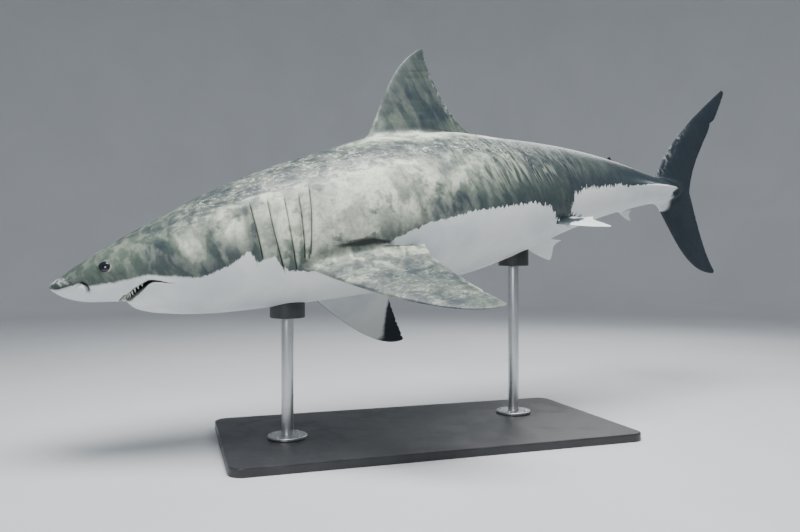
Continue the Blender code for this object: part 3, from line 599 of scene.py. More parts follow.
def marks(points):
    """Named values for the paint at surface points: metres above the colour line, how ragged
    and how soft the line is, and the strength of each other mark from nought to one. Hollow is
    painted shade, pale is partly painted light, and crown and streak say where the painted
    sunlight of water ripples lies."""
    s, y, z = points[..., 0], points[..., 1], points[..., 2]
    back, belly, _ = profile(s)
    rise = (z - belly) / np.maximum(back - belly, 1e-4) * 2 - 1
    # The pale values are partly the skin's own paler mottling and partly painted sunlight from water
    # ripples, over the shoulder, neck and gills; back_edge, saddle and ridge pale the top of the back
    # as painted light from above.
    shoulder = 0.95 * bell(s, 0.27, 0.100) * band(z, -0.034, 0.000, 0.045, 0.085)
    neck = 0.22 * bell(s, 0.165, 0.040) * band(z, -0.02, 0.0, 0.03, 0.05)
    gills = 0.35 * bell(s, 0.213, 0.022) * smooth(z, -0.03, -0.01)
    back_edge = 0.35 * bell(s, 0.36, 0.10) * smooth(z, 0.02, 0.06)
    saddle = bell(s, 0.395, 0.075) * smooth(rise, 0.78, 0.92)
    ridge = 0.10 * bell(s, 0.58, 0.14) * smooth(rise, 0.80, 0.95)
    pale = shoulder + neck + gills + back_edge + 0.55 * saddle + ridge + spots(BLOTCHES, s, z)
    low = 1 - smooth(z, -0.012, 0.026)
    # hollow holds painted shade: near-black in each gill slit, darker towards its foot. Before each
    # slit the skin is painted darker as shade, and just behind it paler as a painted highlight.
    hollow = 0 * s
    for k in range(len(GILL_SLITS)):
        past = s - slit_station(k, z)
        window = slit_window(k, z) * (np.abs(y) > GILL_SIDE)
        hollow = np.maximum(hollow, (0.45 + 0.45 * low) * window * bell(past, 0.0001, 0.00036))
        before = smooth(past, -0.0060 - 0.009 * (k == 0), -0.0004) * (past < 0.0001)
        after = bell(past, 0.0020, 0.0026) * (past > 0.0001)
        pale = pale + window * (0.40 * after - (0.30 + 0.45 * low) * before)
    # Painted shadow of the crease over each pectoral fin's root, in part the dark armpit spot.
    at, up = s - RIGHT_ROOT[0] * (y > 0), z - RIGHT_ROOT[1] * (y > 0)
    arch = ARMPIT[1] - ARMPIT_ARCH * np.maximum(at - ARMPIT[0], 0) ** 2
    lens = 1 - np.hypot((at - ARMPIT[0]) / ARMPIT[2], (up - arch) / ARMPIT[3])
    hollow = np.maximum(hollow, 0.94 * smooth(lens, 0.0, 0.28))
    above = above_line(s, y, z)
    # Painted shade along the colour line under the tip of the snout.
    hollow = np.maximum(hollow, 0.62 * bell(s, 0.013, 0.012) * bell(above, 0.0006, 0.0016))
    ragged = 0.0005 + 0.0012 * smooth(s, 0.10, 0.16) + 0.0010 * smooth(s, 0.35, 0.45)
    ragged = ragged + 0.0024 * smooth(s, 0.48, 0.56)
    ragged = ragged - 0.0034 * smooth(s, 0.66, 0.72) - 0.0012 * smooth(s, 0.72, 0.76)
    crown = smooth(rise, 0.25, 0.70) * band(s, 0.06, 0.16, 0.46, 0.58) * (1 - saddle)
    return {
        "above": LENGTH * above,
        "ragged": LENGTH * ragged,
        "blur": 0.0016 + 0.0042 * band(s, 0.020, 0.045, 0.10, 0.25),
        "pale": np.clip(pale, 0, 1),
        "hollow": hollow,
        "ink": 0 * s,
        "scar": bell(s, 0.010, 0.009) * band(z, -0.0125, -0.0100, -0.006, 0.0),
        "tail": 0.75 * smooth(s, 0.35, 0.55) + 0.25 * smooth(s, 0.60, 0.80),
        "crown": crown,
        "streak": bell(s, 0.475, 0.10) * band(rise, -0.02, 0.30, 0.80, 0.92),
        "pores": bell(s, 0.026, 0.018) * smooth(s, 0.004, 0.010),
    }


# ==== The skin as one mesh ====
# Shell, lips, eye rims, nostrils and fins are cast together and painted as one hide, so the
# patches lie tangent to the shell and the fins spring from it on rounded fillets.
def grid_faces(rows, columns, around):
    """Four-sided faces of a grid of points; around joins the last column to the first."""
    wide = columns if around else columns - 1
    i, j = np.meshgrid(np.arange(rows - 1), np.arange(wide), indexing="ij")
    k = (j + 1) % columns
    near, far = i * columns, (i + 1) * columns
    return np.stack([near + j, near + k, far + k, far + j], -1).reshape(-1, 4)


def panel(points, values, around=True, first_pole=False, last_pole=False, outside=None):
    """A grid as one panel of a mesh: its points, its four-sided and three-sided faces and its
    named values. A pole is the middle of its end ring. The faces are turned to look away from
    the inside, told by the enclosed volume or by the direction given for each point."""
    rows, columns = points.shape[:2]
    flat = points.reshape(-1, 3)
    squares, wedges = grid_faces(rows, columns, around), np.zeros((0, 3), int)
    values = {name: np.broadcast_to(v, points.shape[:2]).reshape(-1) for name, v in values.items()}
    for wanted, row in ((first_pole, 0), (last_pole, rows - 1)):
        if wanted:
            ring = np.arange(columns) + row * columns
            fan = np.stack([ring, np.roll(ring, -1), np.full(columns, len(flat))], 1)
            wedges = np.vstack([wedges, fan if row else fan[:, ::-1]])
            flat = np.vstack([flat, flat[ring].mean(0)])
            values = {name: np.append(v, v[ring].mean()) for name, v in values.items()}
    corners = np.vstack([squares[:, :3], wedges])
    a, b, c = (flat[corners[:, k]] for k in range(3))
    away = a - flat.mean(0) if outside is None else outside[corners[:, 0]]
    if np.einsum("ij,ij->", np.cross(b - a, c - a), away) < 0:
        squares, wedges = squares[:, ::-1], wedges[:, ::-1]
    return flat, (squares, wedges), values


def closed(points):
    """A ringed grid as a panel that closes in a pole at both ends."""
    return panel(points, {}, first_pole=True, last_pole=True)


def joined(parts):
    """Panels as the points and faces of one mesh."""
    points, faces, first = [], [], 0
    for flat, kinds, _ in parts:
        for kind in kinds:
            faces += (kind + first).tolist()
        points.append(flat)
        first += len(flat)
    return np.concatenate(points), faces


def shell_rows():
    """Stations of the shell's rows at every angle. Rows crowd on the snout and head, and in the
    gill region they follow the slits, so that a row runs along each slit's floor and edges."""
    across = 176
    u = np.linspace(-math.pi, math.pi, across, endpoint=False)
    v = u + 0.22 * np.sin(2 * u)
    gills_start, gills_end, stock_start, stock_end = 0.1785, 0.2530, 0.842, 0.8615
    nose = 0.012 * (np.arange(1, 15) / 14) ** 2
    head = np.arange(0.01295, 0.109, 0.00105)
    neck = np.arange(0.1095, 0.1775, 0.0018)
    edges = [np.full(across, gills_start)]
    for k in range(len(GILL_SLITS)):
        station = np.full(across, GILL_SLITS[k, 1, 0])
        for _ in range(5):
            station = slit_station(k, body(station, v)[:, 2])
        edges.append(station)
    edges.append(np.full(across, gills_end))
    beside_slit = np.array([-0.0013, -0.0008, -0.00045, 0, 0.00045, 0.0008, 0.0013])
    gills = []
    for k in range(len(edges) - 1):
        start, end = edges[k], edges[k + 1]
        if k:
            gills += [start + d for d in beside_slit]
        inner = np.linspace(0, 1, 8)[1:-1] if k else np.linspace(0, 1, 6)[:-1]
        low = start + (beside_slit[-1] if k else 0)
        high = end + (beside_slit[0] if k < len(edges) - 2 else 0)
        gills += [low + (high - low) * t for t in inner]
    trunk = np.arange(gills_end, stock_start, 0.0055)
    stock = np.linspace(stock_start, stock_end, 12)
    plain = [np.full(across, s) for s in (*nose, *head, *neck)]
    rear = [np.full(across, s) for s in (*trunk, *stock)]
    rows = np.array([*plain, *gills, *rear])
    return rows, np.broadcast_to(v, rows.shape)


def on_body(points):
    """Paint values and the surface's normals at the places on the body beside the points."""
    s, v, _ = beside(points)
    return marks(body(s, v)), outward(s, v).reshape(-1, 3)


s, v = shell_rows()
plain = body(s, v)
shell = skin(s, v, -np.maximum(mouth_room(plain), soft_room(plain)))
hide_panels = [panel(shell, marks(plain), first_pole=True, last_pole=True)]

strip, dark = mouth_skin()
values, normals = on_body(strip)
values["hollow"] = dark
hide_panels.append(panel(strip, values, around=False, outside=normals))

for side in (-1, 1):
    rim = eye_rim(side)
    values, normals = on_body(rim)
    off = np.broadcast_to(RIM_RADII[:, None], rim.shape[:2])
    # shine is a painted highlight on the crest of the rim behind the eye. The innermost rings, tucked
    # against the ball, are painted near-black as shade.
    behind = (rim - eye_seat[side]) @ unit(np.array([1.0, 0, -0.7]))
    shine = 0.28 * bell(off, RIM_CREST, 0.0007) * smooth(behind, 0.0005, 0.0050)
    values["pale"] = values["pale"] * smooth(off, 0.0060, 0.0100) + shine
    values["hollow"] = 0.85 * (1 - smooth(off, 0.0048, 0.0054))
    hide_panels.append(panel(rim, values, outside=normals))

    disc, slit, flap = nostril(side)
    values, normals = on_body(disc)
    values["above"] = values["above"] * (1 - flap) - 0.05 * flap
    # The slit and a band round it are painted dark as shade.
    near_slit = bell(from_line(disc[..., 0], disc[..., 2], NOSTRIL_SLIT), 0.0, 0.0019)
    values["hollow"] = np.maximum(smooth(slit, 0.25, 0.80), 0.55 * near_slit * (1 - flap))
    values["pores"] = values["pores"] * (1 - flap)
    normals = np.vstack([normals, normals[:1]])
    hide_panels.append(panel(disc, values, first_pole=True, outside=normals))


# ==== Fins ====
# The fins are stiff blades of gristle under the same hide, thick and rounded in front and
# thin behind, with small nicks worn into their trailing edges. Each rises out of a fillet.
FIRST_DORSAL = (  # leading edge; trailing edge; insertion, and rows, points across, fillet, wear
    ((0.3223, 0.0882), (0.3539, 0.1232), (0.3672, 0.1774), (0.4171, 0.1953)),
    ((0.4192, 0.1924), (0.4152, 0.1742), (0.4434, 0.0954), (0.4738, 0.0918)),
    (0.4420, 0.0900), (84, 18, 0.0085, 0.0034),
)
SECOND_DORSAL = (
    ((0.6950, 0.0440), (0.7000, 0.0500), (0.7040, 0.0545), (0.7090, 0.0545)),
    ((0.7100, 0.0540), (0.7095, 0.0500), (0.7130, 0.0475), (0.7210, 0.0460)),
    (0.7100, 0.0450), (20, 12, 0.0022, 0.0004),
)
ANAL = (
    ((0.7000, -0.0150), (0.7090, -0.0240), (0.7190, -0.0330), (0.7300, -0.0362)),
    ((0.7315, -0.0358), (0.7270, -0.0300), (0.7280, -0.0250), (0.7370, -0.0222)),
    (0.7180, -0.0190), (26, 12, 0.0026, 0.0005),
)
PECTORAL = (
    ((-0.0100, -0.0200), (0.0273, 0.0645), (0.0697, 0.1383), (0.1110, 0.1414)),
    ((0.1155, 0.1399), (0.1096, 0.1032), (0.0986, 0.0498), (0.1112, 0.0159)),
    (0.0720, 0.0000), (96, 18, 0.0100, 0.0016),
)
PELVIC = (
    ((-0.0060, -0.0120), (0.0109, 0.0154), (0.0247, 0.0324), (0.0433, 0.0458)),
    ((0.0453, 0.0443), (0.0493, 0.0260), (0.0412, 0.0150), (0.0559, 0.0079)),
    (0.0380, 0.0000), (36, 14, 0.0040, 0.0006),
)
PAIRED_FINS = {  # station, side, height, droop, pitch and sweep of each fin's root
    "pectoral_fin_left": (0.2297, -0.0605, -0.0293, 0.559, -0.110, 0.086),
    "pectoral_fin_right": (0.2339, 0.0599, -0.0400, 0.908, -0.228, 0.487),
    "pelvic_fin_left": (0.5346, -0.0400, -0.0260, 0.392, -0.076, -0.057),
    "pelvic_fin_right": (0.5364, 0.0285, -0.0398, 0.663, 0.051, 0.594),
}
FIN_THICKNESS, FIN_TIP_THICKNESS = 0.095, 0.060  # shares of the chord, at the root and the tip
FIN_EDGE = 0.0010  # metres, half the thickness that the trailing edge keeps
TIP_CLOSURE = 0.985  # how far the quarter ellipse at a fin's tip closes in
FILLET_ROWS = 8


def cubic(points, t):
    """A cubic curve by its four control points."""
    a, b, c, d = (np.array(p, float) for p in points)
    t = np.asarray(t, float)[:, None]
    return a * (1 - t) ** 3 + 3 * b * t * (1 - t) ** 2 + 3 * c * t**2 * (1 - t) + d * t**3


def nicks(out, low, high, seed, size):
    """Worn notches: narrow bells of random place, depth and width along the trailing edge."""
    draw = np.random.default_rng(seed)
    count = int(14 * (high - low) / 0.1) + 3
    bite = 0
    for _ in range(count):
        where = draw.uniform(low, high)
        bite = bite + size * draw.uniform(0.25, 1) ** 2 * bell(out, where, draw.uniform(0.0006, 0.0018))
    return bite


def tip_rounding(climb):
    """Share of the chord left at a share of the way through the tip: a quarter ellipse."""
    return np.sqrt(1 - TIP_CLOSURE * np.clip(climb, 0, 1) ** 2)


def fin_edges(outline, out):
    """Leading and trailing stations at each height out, and the tip's rounding. The free rear
    tip's inner margin is a straight line from the insertion."""
    lead, trail, insertion, _ = outline
    sign = 1 if lead[3][1] > lead[0][1] else -1
    t = np.linspace(0, 1, 400)
    front, rear = cubic(lead, t), cubic(trail, t)
    ahead = np.interp(sign * out, sign * front[:, 1], front[:, 0])
    behind = np.interp(sign * out, sign * rear[::-1, 1], rear[::-1, 0])
    inner = np.array([insertion, trail[3]])
    margin = np.interp(sign * out, sign * inner[:, 1], inner[:, 0])
    behind = np.where(sign * out < sign * trail[3][1], margin, behind)
    tip = tip_rounding((out - trail[0][1]) / (lead[3][1] - trail[0][1]))
    return ahead, ahead + (behind - ahead) * tip, tip


def half_depth(x, chord, climb, tip):
    """Half the blade's thickness at share x of its chord and share climb of its height: a
    wing's section that thins towards the tip, and an edge that keeps some thickness."""
    wing = 1.4845 * np.sqrt(x) - 0.63 * x - 1.758 * x**2 + 1.4215 * x**3 - 0.518 * x**4
    share = 2 / math.pi * np.arcsin(np.clip(climb, 0, 1))
    thick = (FIN_THICKNESS + (FIN_TIP_THICKNESS - FIN_THICKNESS) * share) * tip
    return thick * chord * wing + np.minimum(FIN_EDGE / LENGTH, 0.2 * chord) * np.sqrt(x)


def chord_places(across):
    """Places round a section from the trailing edge over the nose and back: share of the
    chord, and which face, +1 or -1."""
    x = (1 - np.cos(np.linspace(0, math.pi, across))) / 2
    return np.concatenate([x[::-1], x[1:]]), np.concatenate([np.ones(across), -np.ones(across - 1)])


def blade(outline, out, x, face, bite=0.0):
    """Points (back, out, thick) of a fin at heights out and chord places x."""
    low, high = outline[0][0][1], outline[0][3][1]
    ahead, behind, tip = fin_edges(outline, out)
    chord = np.maximum(behind - ahead, 0.0008) - bite
    depth = half_depth(x, chord, (out - low) / (high - low), tip)
    return np.stack([ahead + x * chord, out, face * depth], -1)


def fin_surface(outline, place, seed):
    """A fin as a grid. Each line of the blade is followed down to where it meets the shell; a
    curve of second degree then leads from the shell, a fillet's reach away, up into the blade."""
    lead, trail, _, (rows, across, fillet, wear) = outline
    x, face = chord_places(across)
    corner, top = trail[3][1], lead[3][1]
    sign = 1 if top > lead[0][1] else -1
    out = np.linspace(lead[0][1], top, 300)[:, None]
    height = beside(place(blade(outline, out + 0 * x, x + 0 * out, face + 0 * out)))[2]
    first = len(out) - 1 - np.argmax(height[::-1] < 0, axis=0)
    first = np.minimum(first, len(out) - 2)
    column = np.arange(len(x))
    t = height[first, column] / (height[first, column] - height[first + 1, column])
    root_out = out[first, 0] + t * (out[first + 1, 0] - out[first, 0])
    root = place(blade(outline, root_out, x, face))
    reach = fillet * (0.12 + 0.88 * (1 - smooth(x, 0.55, 0.98)))
    start_out = root_out + sign * reach
    bend_out = sign * np.maximum(sign * corner, sign * start_out + 0.0006)
    lower = start_out + (bend_out - start_out) * np.linspace(0, 1, 7)[:-1, None]
    climb = np.linspace(0, 1, rows)[:, None]
    climb = 0.55 * climb + 0.45 * np.sin(climb * math.pi / 2)
    upper = bend_out + (top - bend_out) * climb
    outs = np.concatenate([lower, upper])
    worn = nicks(outs, min(trail[0][1], corner), max(trail[0][1], corner), seed, wear)
    worn = worn * smooth(sign * outs, sign * corner, sign * corner + 0.006)
    worn = worn * (1 - smooth(sign * outs, sign * top - 0.010, sign * top - 0.004))
    points = place(blade(outline, outs, x + 0 * outs, face + 0 * outs, worn))
    sideways = unit(np.cross(np.roll(root, -1, 0) - np.roll(root, 1, 0), points[0] - root))
    sideways *= np.sign(np.einsum("ij,ij->i", sideways, root - root.mean(0)))[:, None]
    up = outward(*beside(root)[:2])
    flat = unit(sideways - up * np.einsum("ij,ij->i", sideways, up)[:, None])
    foot = laid(root + flat * reach[:, None], -0.0001 + 0 * reach)
    t = np.linspace(0, 1, FILLET_ROWS + 1)[:-1, None, None]
    curve = (1 - t) ** 2 * foot + 2 * t * (1 - t) * root + t**2 * points[0]
    t = t[..., 0]
    spread = np.concatenate([t + 0 * x, 1 + 0 * outs])
    all_out = np.concatenate([0 * t + root_out, outs])
    return np.concatenate([curve, points]), spread, all_out, x + 0 * all_out, face + 0 * all_out


def fin_marks(points, spread, above, **others):
    """Paint values of a fin, running into the shell's own at the foot of the fillet."""
    values = on_body(points)[0]
    near = smooth(spread, 0.0, 0.9)
    values["above"] = values["above"] * (1 - near) + above * near
    for name in ("hollow", "scar", "pores", "streak", "crown"):
        values[name] = values[name] * (1 - near)
    for name, value in others.items():
        values[name] = values[name] * (1 - near) + value * near
    return values


def upright(points):
    """Stands a blade's (back, out, thick) up on the midline."""
    return points[..., [0, 2, 1]]


def add_fin(grid, values):
    """Adds a fin to the hide, closed in a pole at its tip."""
    hide_panels.append(panel(grid, values, last_pole=True))


grid, spread, out, x, face = fin_surface(FIRST_DORSAL, upright, 3)
worn_edge = smooth(x, 0.93, 0.99) * band(out, 0.100, 0.125, 0.165, 0.180)
front = 1 - smooth(x, 0.0, 0.014)
# tuck is a painted shadow along the root under the first dorsal fin's free rear tip.
tuck = smooth(x, 0.46, 0.58) * (1 - smooth(out - out[0], 0.0010, 0.0028))
values = fin_marks(
    grid, spread, 0.2, pale=0.02 + 0.12 * bell(out, 0.108, 0.016) * (1 - x) + 0.40 * front,
    scar=0.40 * worn_edge, tail=0.58 + 0.20 * smooth(out, 0.12, 0.18),
)
add_fin(grid, values | {"hollow": 0.75 * tuck})
grid, spread, out, x, face = fin_surface(SECOND_DORSAL, upright, 5)
add_fin(grid, fin_marks(grid, spread, 0.2, tail=1.0 + 0 * x))
grid, spread, out, x, face = fin_surface(ANAL, upright, 6)
add_fin(grid, fin_marks(grid, spread, -0.2))

for index, (name, (at, aside, height, droop, lean, sweep)) in enumerate(PAIRED_FINS.items()):
    side = 1 if aside > 0 else -1
    stance = turned_about(2, -side * sweep) @ turned_about(0, -side * droop) @ turned_about(1, lean)

    def on_side(points):
        """Sets a blade on its root at one side of the body."""
        return (points * (1, side, 1)) @ stance.T + (at, aside, height)

    pectoral = name.startswith("pectoral")
    outline = PECTORAL if pectoral else PELVIC
    grid, spread, out, x, face = fin_surface(outline, on_side, 11 + index)
    if pectoral:
        tip = smooth(out + 0.056 * x**2.5, 0.112, 0.140)
        # lip is a painted highlight along the leading edge near the root, and crown lays the painted
        # sunlight net of water ripples over the fin.
        lip = (1 - smooth(x, 0.0, 0.012)) * (1 - smooth(out, 0.06, 0.12))
        base = 1 - smooth(out, 0.01, 0.07)
        above = 0.12 * face * smooth(x, 0.0, 0.06) + 0.03
        add_fin(grid, fin_marks(
            grid, spread, above, ink=tip * (face < 0), ragged=0.0012 + 0 * x,
            tail=0.46 + 0 * x, crown=0.46 * smooth(out, 0.0, 0.03),
            pale=0.12 + 0.30 * base + 0.20 * smooth(x, 0.93, 1.0) + 0.8 * lip,
        ))
    else:
        base = (1 - smooth(out, 0.006, 0.020)) * (face > 0) * (1 - smooth(x, 0.5, 0.9))
        add_fin(grid, fin_marks(grid, spread, -0.02 + 0.04 * base, ragged=0.008 + 0 * x))


# ==== Tail ====
# The tail is a tall crescent of two nearly equal lobes, joined across the end of the stock,
# with a notch under the upper tip where the small terminal lobe stands off.
UPPER_LEAD = ((0.7956, 0.0106), (0.8505, 0.0754), (0.9273, 0.1081), (1.0006, 0.1455))
UPPER_TRAIL = ((1.0053, 0.1414), (0.9691, 0.0850), (0.9030, 0.0500), (0.8800, -0.0090))
LOWER_LEAD = ((0.7899, -0.0101), (0.8217, -0.0564), (0.8338, -0.1243), (0.9037, -0.1356))
LOWER_TRAIL = ((0.9081, -0.1326), (0.8880, -0.0970), (0.8860, -0.0480), (0.8800, -0.0090))
TAIL_PARTING, NOTCH_HEIGHT, NOTCH_DEPTH, NOTCH_REACH = -0.0090, 0.0975, 0.0095, 0.0085
TAIL_FILLET, TAIL_ROWS, TAIL_ACROSS = 0.0060, 170, 17
WHITE_MIDDLE, WHITE_REACH = (0.798, -0.0158), (0.024, 0.0152)  # the belly's white ends here
WHITE_POWER, WHITE_SCALE = 2.4, 0.017


def tail_surface():
    """Both lobes as one grid from the lower tip to the upper. Near the stock the blade swells
    outwards by a quarter circle of its height above the stock, which makes the fillet."""
    x, face = chord_places(TAIL_ACROSS)
    u = np.linspace(-1, 1, TAIL_ROWS)
    u = u * (0.45 + 0.55 * u**2) * (1 - 0.25 * u**2) / 0.75
    tips = np.where(u < 0, LOWER_LEAD[3][1], UPPER_LEAD[3][1])
    out = TAIL_PARTING + np.abs(u) * (tips - TAIL_PARTING)
    t = np.linspace(0, 1, 400)
    lead = np.concatenate([cubic(LOWER_LEAD, t)[::-1], cubic(UPPER_LEAD, t)])
    trail = np.concatenate([cubic(LOWER_TRAIL, t), cubic(UPPER_TRAIL, t)[::-1]])
    ahead = np.interp(out, lead[:, 1], lead[:, 0])
    behind = np.interp(out, trail[:, 1], trail[:, 0])
    below = np.maximum(NOTCH_HEIGHT - out, 0)
    behind = behind - NOTCH_DEPTH * np.exp(-below / NOTCH_REACH) * smooth(below, 0, 0.0018)
    start = np.where(u < 0, LOWER_TRAIL[0][1], UPPER_TRAIL[0][1])
    top = np.clip((out - start) / (tips - start), 0, 1)
    tip = tip_rounding(top)
    chord = np.maximum((behind - ahead) * tip, 0.0008)
    worn = nicks(out, -0.12, 0.085, 21, 0.0013) + nicks(out, 0.10, 0.135, 22, 0.0016)
    chord = chord - worn * smooth(np.abs(out), 0.015, 0.03) * (1 - top)
    climb = (out - TAIL_PARTING) / (tips - TAIL_PARTING)
    chord, climb, tip, out, ahead = (value[:, None] for value in (chord, climb, tip, out, ahead))
    depth = half_depth(x, chord, climb, tip)
    points = np.stack([ahead + x * chord, face * depth, out + 0 * x], -1)
    high = beside(points)[2]
    radius = TAIL_FILLET * (1 - smooth(points[..., 0], 0.835, 0.866))
    near = np.clip(radius - np.maximum(high, -0.0012), 0, None)
    swell = radius - np.sqrt(np.clip(radius**2 - np.minimum(near, radius) ** 2, 0, None))
    swell = swell + np.maximum(near - radius, 0)
    slope = np.gradient(points, axis=1)
    away = np.stack([slope[..., 1], -slope[..., 0], 0 * high], -1)
    away[:, [0, -1]] = (0, 1e-9, 0)
    away = unit(away) * np.sign(away[..., 1] * face + 1e-12)[..., None]
    away[:, TAIL_ACROSS - 1] = (-1, 0, 0)
    points = points + away * (swell * (x < 0.97))[..., None]
    return points, x + 0 * out, out + 0 * x


grid, x, out = tail_surface()
values = on_body(grid)[0]
along = np.abs(grid[..., 0] - WHITE_MIDDLE[0]) / WHITE_REACH[0]
upward = np.abs(grid[..., 2] - WHITE_MIDDLE[1]) / WHITE_REACH[1]
off_white = (along**WHITE_POWER + upward**WHITE_POWER) ** (1 / WHITE_POWER) - 1
for name in ("crown", "streak", "pores", "hollow", "pale"):
    values[name] = 0 * x
values["above"] = LENGTH * WHITE_SCALE * off_white
values["ragged"] = 0.004 + 0 * x
values["blur"] = 0.0030 + 0.018 * smooth(grid[..., 0], 0.802, 0.822)
# On the upper lobe's leading edge these pale patches are painted highlights.
values["scar"] = 0.30 * bell(x, 0.04, 0.09) * band(out, 0.010, 0.025, 0.075, 0.100)
values["tail"] = 1.0 + 0 * x
hide_panels.append(panel(grid, values, first_pole=True, last_pole=True))


def mesh_object(name, points, faces, values, sharp=None):
    """An object at the frame's origin with named values at its points, smooth but for the
    edges that turn more sharply than an angle."""
    mesh = bpy.data.meshes.new(name)
    mesh.from_pydata(points.tolist(), [], faces)
    for label, numbers in values.items():
        layer = mesh.attributes.new(label, "FLOAT", "POINT")
        layer.data.foreach_set("value", numbers.astype(np.float32))
    mesh.shade_smooth()
    if sharp:
        mesh.set_sharp_from_angle(angle=math.radians(sharp))
    made = bpy.data.objects.new(name, mesh)
    bpy.context.scene.collection.objects.link(made)
    return made


points, faces = joined(hide_panels)
values = {name: np.concatenate([part[2][name] for part in hide_panels]) for name in hide_panels[0][2]}
hide = mesh_object("hide", placed(points), faces, values, sharp=55)


# ==== Paint of the hide ====
# Satin paint over fine shark grain: slate and olive mottles above, cream where the flank is
# pale, in part painted sunlight from water ripples, white below, and near-black on the fin
# tips. Painted shade, near-black, lies inside the slits, the mouth and other recesses.
class Wiring:
    """Builds one node tree: each call adds a node, sets its plain sockets and links the rest."""

    def __init__(self, tree):
        self.tree = tree

    def plug(self, node, **sockets):
        """Links or sets sockets, called by name with _ for each space, or by _ and their index."""
        for name, value in sockets.items():
            socket = node.inputs[int(name[1:]) if name[0] == "_" else name.replace("_", " ")]
            if isinstance(value, bpy.types.NodeSocket):
                self.tree.links.new(value, socket)
            else:
                socket.default_value = value

    def add(self, kind, settings=None, **sockets):
        made = self.tree.nodes.new("ShaderNode" + kind)
        for name, value in (settings or {}).items():
            setattr(made, name, value)
        self.plug(made, **sockets)
        return made

    def value(self, name):
        return self.add("Attribute", {"attribute_name": name}).outputs["Fac"]

    def math(self, what, a, b=0.0):
        return self.add("Math", {"operation": what}, _0=a, _1=b).outputs[0]

    def times(self, a, b):
        return self.math("MULTIPLY", a, b)

    def ramp(self, value, low, high, start=0.0, end=1.0):
        """From start, where the value is low, smoothly to end, where it is high."""
        return self.add(
            "MapRange", {"interpolation_type": "SMOOTHSTEP"}, Value=value,
            From_Min=low, From_Max=high, To_Min=start, To_Max=end,
        ).outputs[0]

    def mix(self, share, *colours):
        first, second = (
            colour if isinstance(colour, bpy.types.NodeSocket) else (*colour, 1.0)
            for colour in colours
        )
        return self.add("Mix", {"data_type": "RGBA"}, _0=share, _6=first, _7=second).outputs[2]

    def noise(self, place, scale, detail=3.0, roughness=0.55, distortion=0.0):
        return self.add(
            "TexNoise", Vector=place, Scale=scale, Detail=detail, Roughness=roughness,
            Distortion=distortion,
        ).outputs["Fac"]

    def stretched(self, place, scale, turn=(0, 0, 0)):
        return self.add("Mapping", Vector=place, Rotation=turn, Scale=scale).outputs[0]

    def veins(self, noise, width):
        """One where a noise crosses its middle, nought where it is further off than width."""
        return self.ramp(self.math("ABSOLUTE", self.math("SUBTRACT", noise, 0.5)), width, 0.0)

    def bumps(self, height, strength, distance):
        return self.add("Bump", Strength=strength, Distance=distance, Height=height).outputs[0]


def mottle_group():
    """Shared mottling: noise at a given size, its contrast set by the two ends of a ramp."""
    tree = bpy.data.node_groups.new("mottle", "ShaderNodeTree")
    tree.interface.new_socket(name="Place", in_out="INPUT", socket_type="NodeSocketVector")
    for name in ("Size", "Low", "High"):
        tree.interface.new_socket(name=name, in_out="INPUT", socket_type="NodeSocketFloat")
    tree.interface.new_socket(name="Mask", in_out="OUTPUT", socket_type="NodeSocketFloat")
    wires = Wiring(tree)
    given = tree.nodes.new("NodeGroupInput").outputs
    noise = wires.noise(given["Place"], given["Size"], detail=4.0, distortion=0.3)
    mask = wires.ramp(noise, given["Low"], given["High"])
    wires.plug(tree.nodes.new("NodeGroupOutput"), Mask=mask)
    return tree


mottle = mottle_group()


def new_finish(name):
    """A material, its wiring helper, its Principled shader and the place on the piece."""
    material = bpy.data.materials.new(name)
    material.use_nodes = True
    wires = Wiring(material.node_tree)
    shader = material.node_tree.nodes["Principled BSDF"]
    place = wires.add("TexCoord").outputs["Object"]
    return material, wires, shader, place


def mottled(wires, place, size, low, high):
    """The shared mottling, placed in a material with its own values."""
    made = wires.add("Group", {"node_tree": mottle}, Place=place, Size=size, Low=low, High=high)
    return made.outputs["Mask"]


SLATE, OLIVE, DEEP = (0.030, 0.046, 0.056), (0.108, 0.145, 0.114), (0.012, 0.020, 0.030)
CREAM, BELLY, BELLY_SHADE = (0.690, 0.740, 0.600), (0.800, 0.815, 0.800), (0.60, 0.66, 0.68)
INK, SHADE_BLACK, SCAR_AND_HIGHLIGHT = (0.022, 0.029, 0.038), (0.015, 0.017, 0.019), (0.56, 0.57, 0.54)


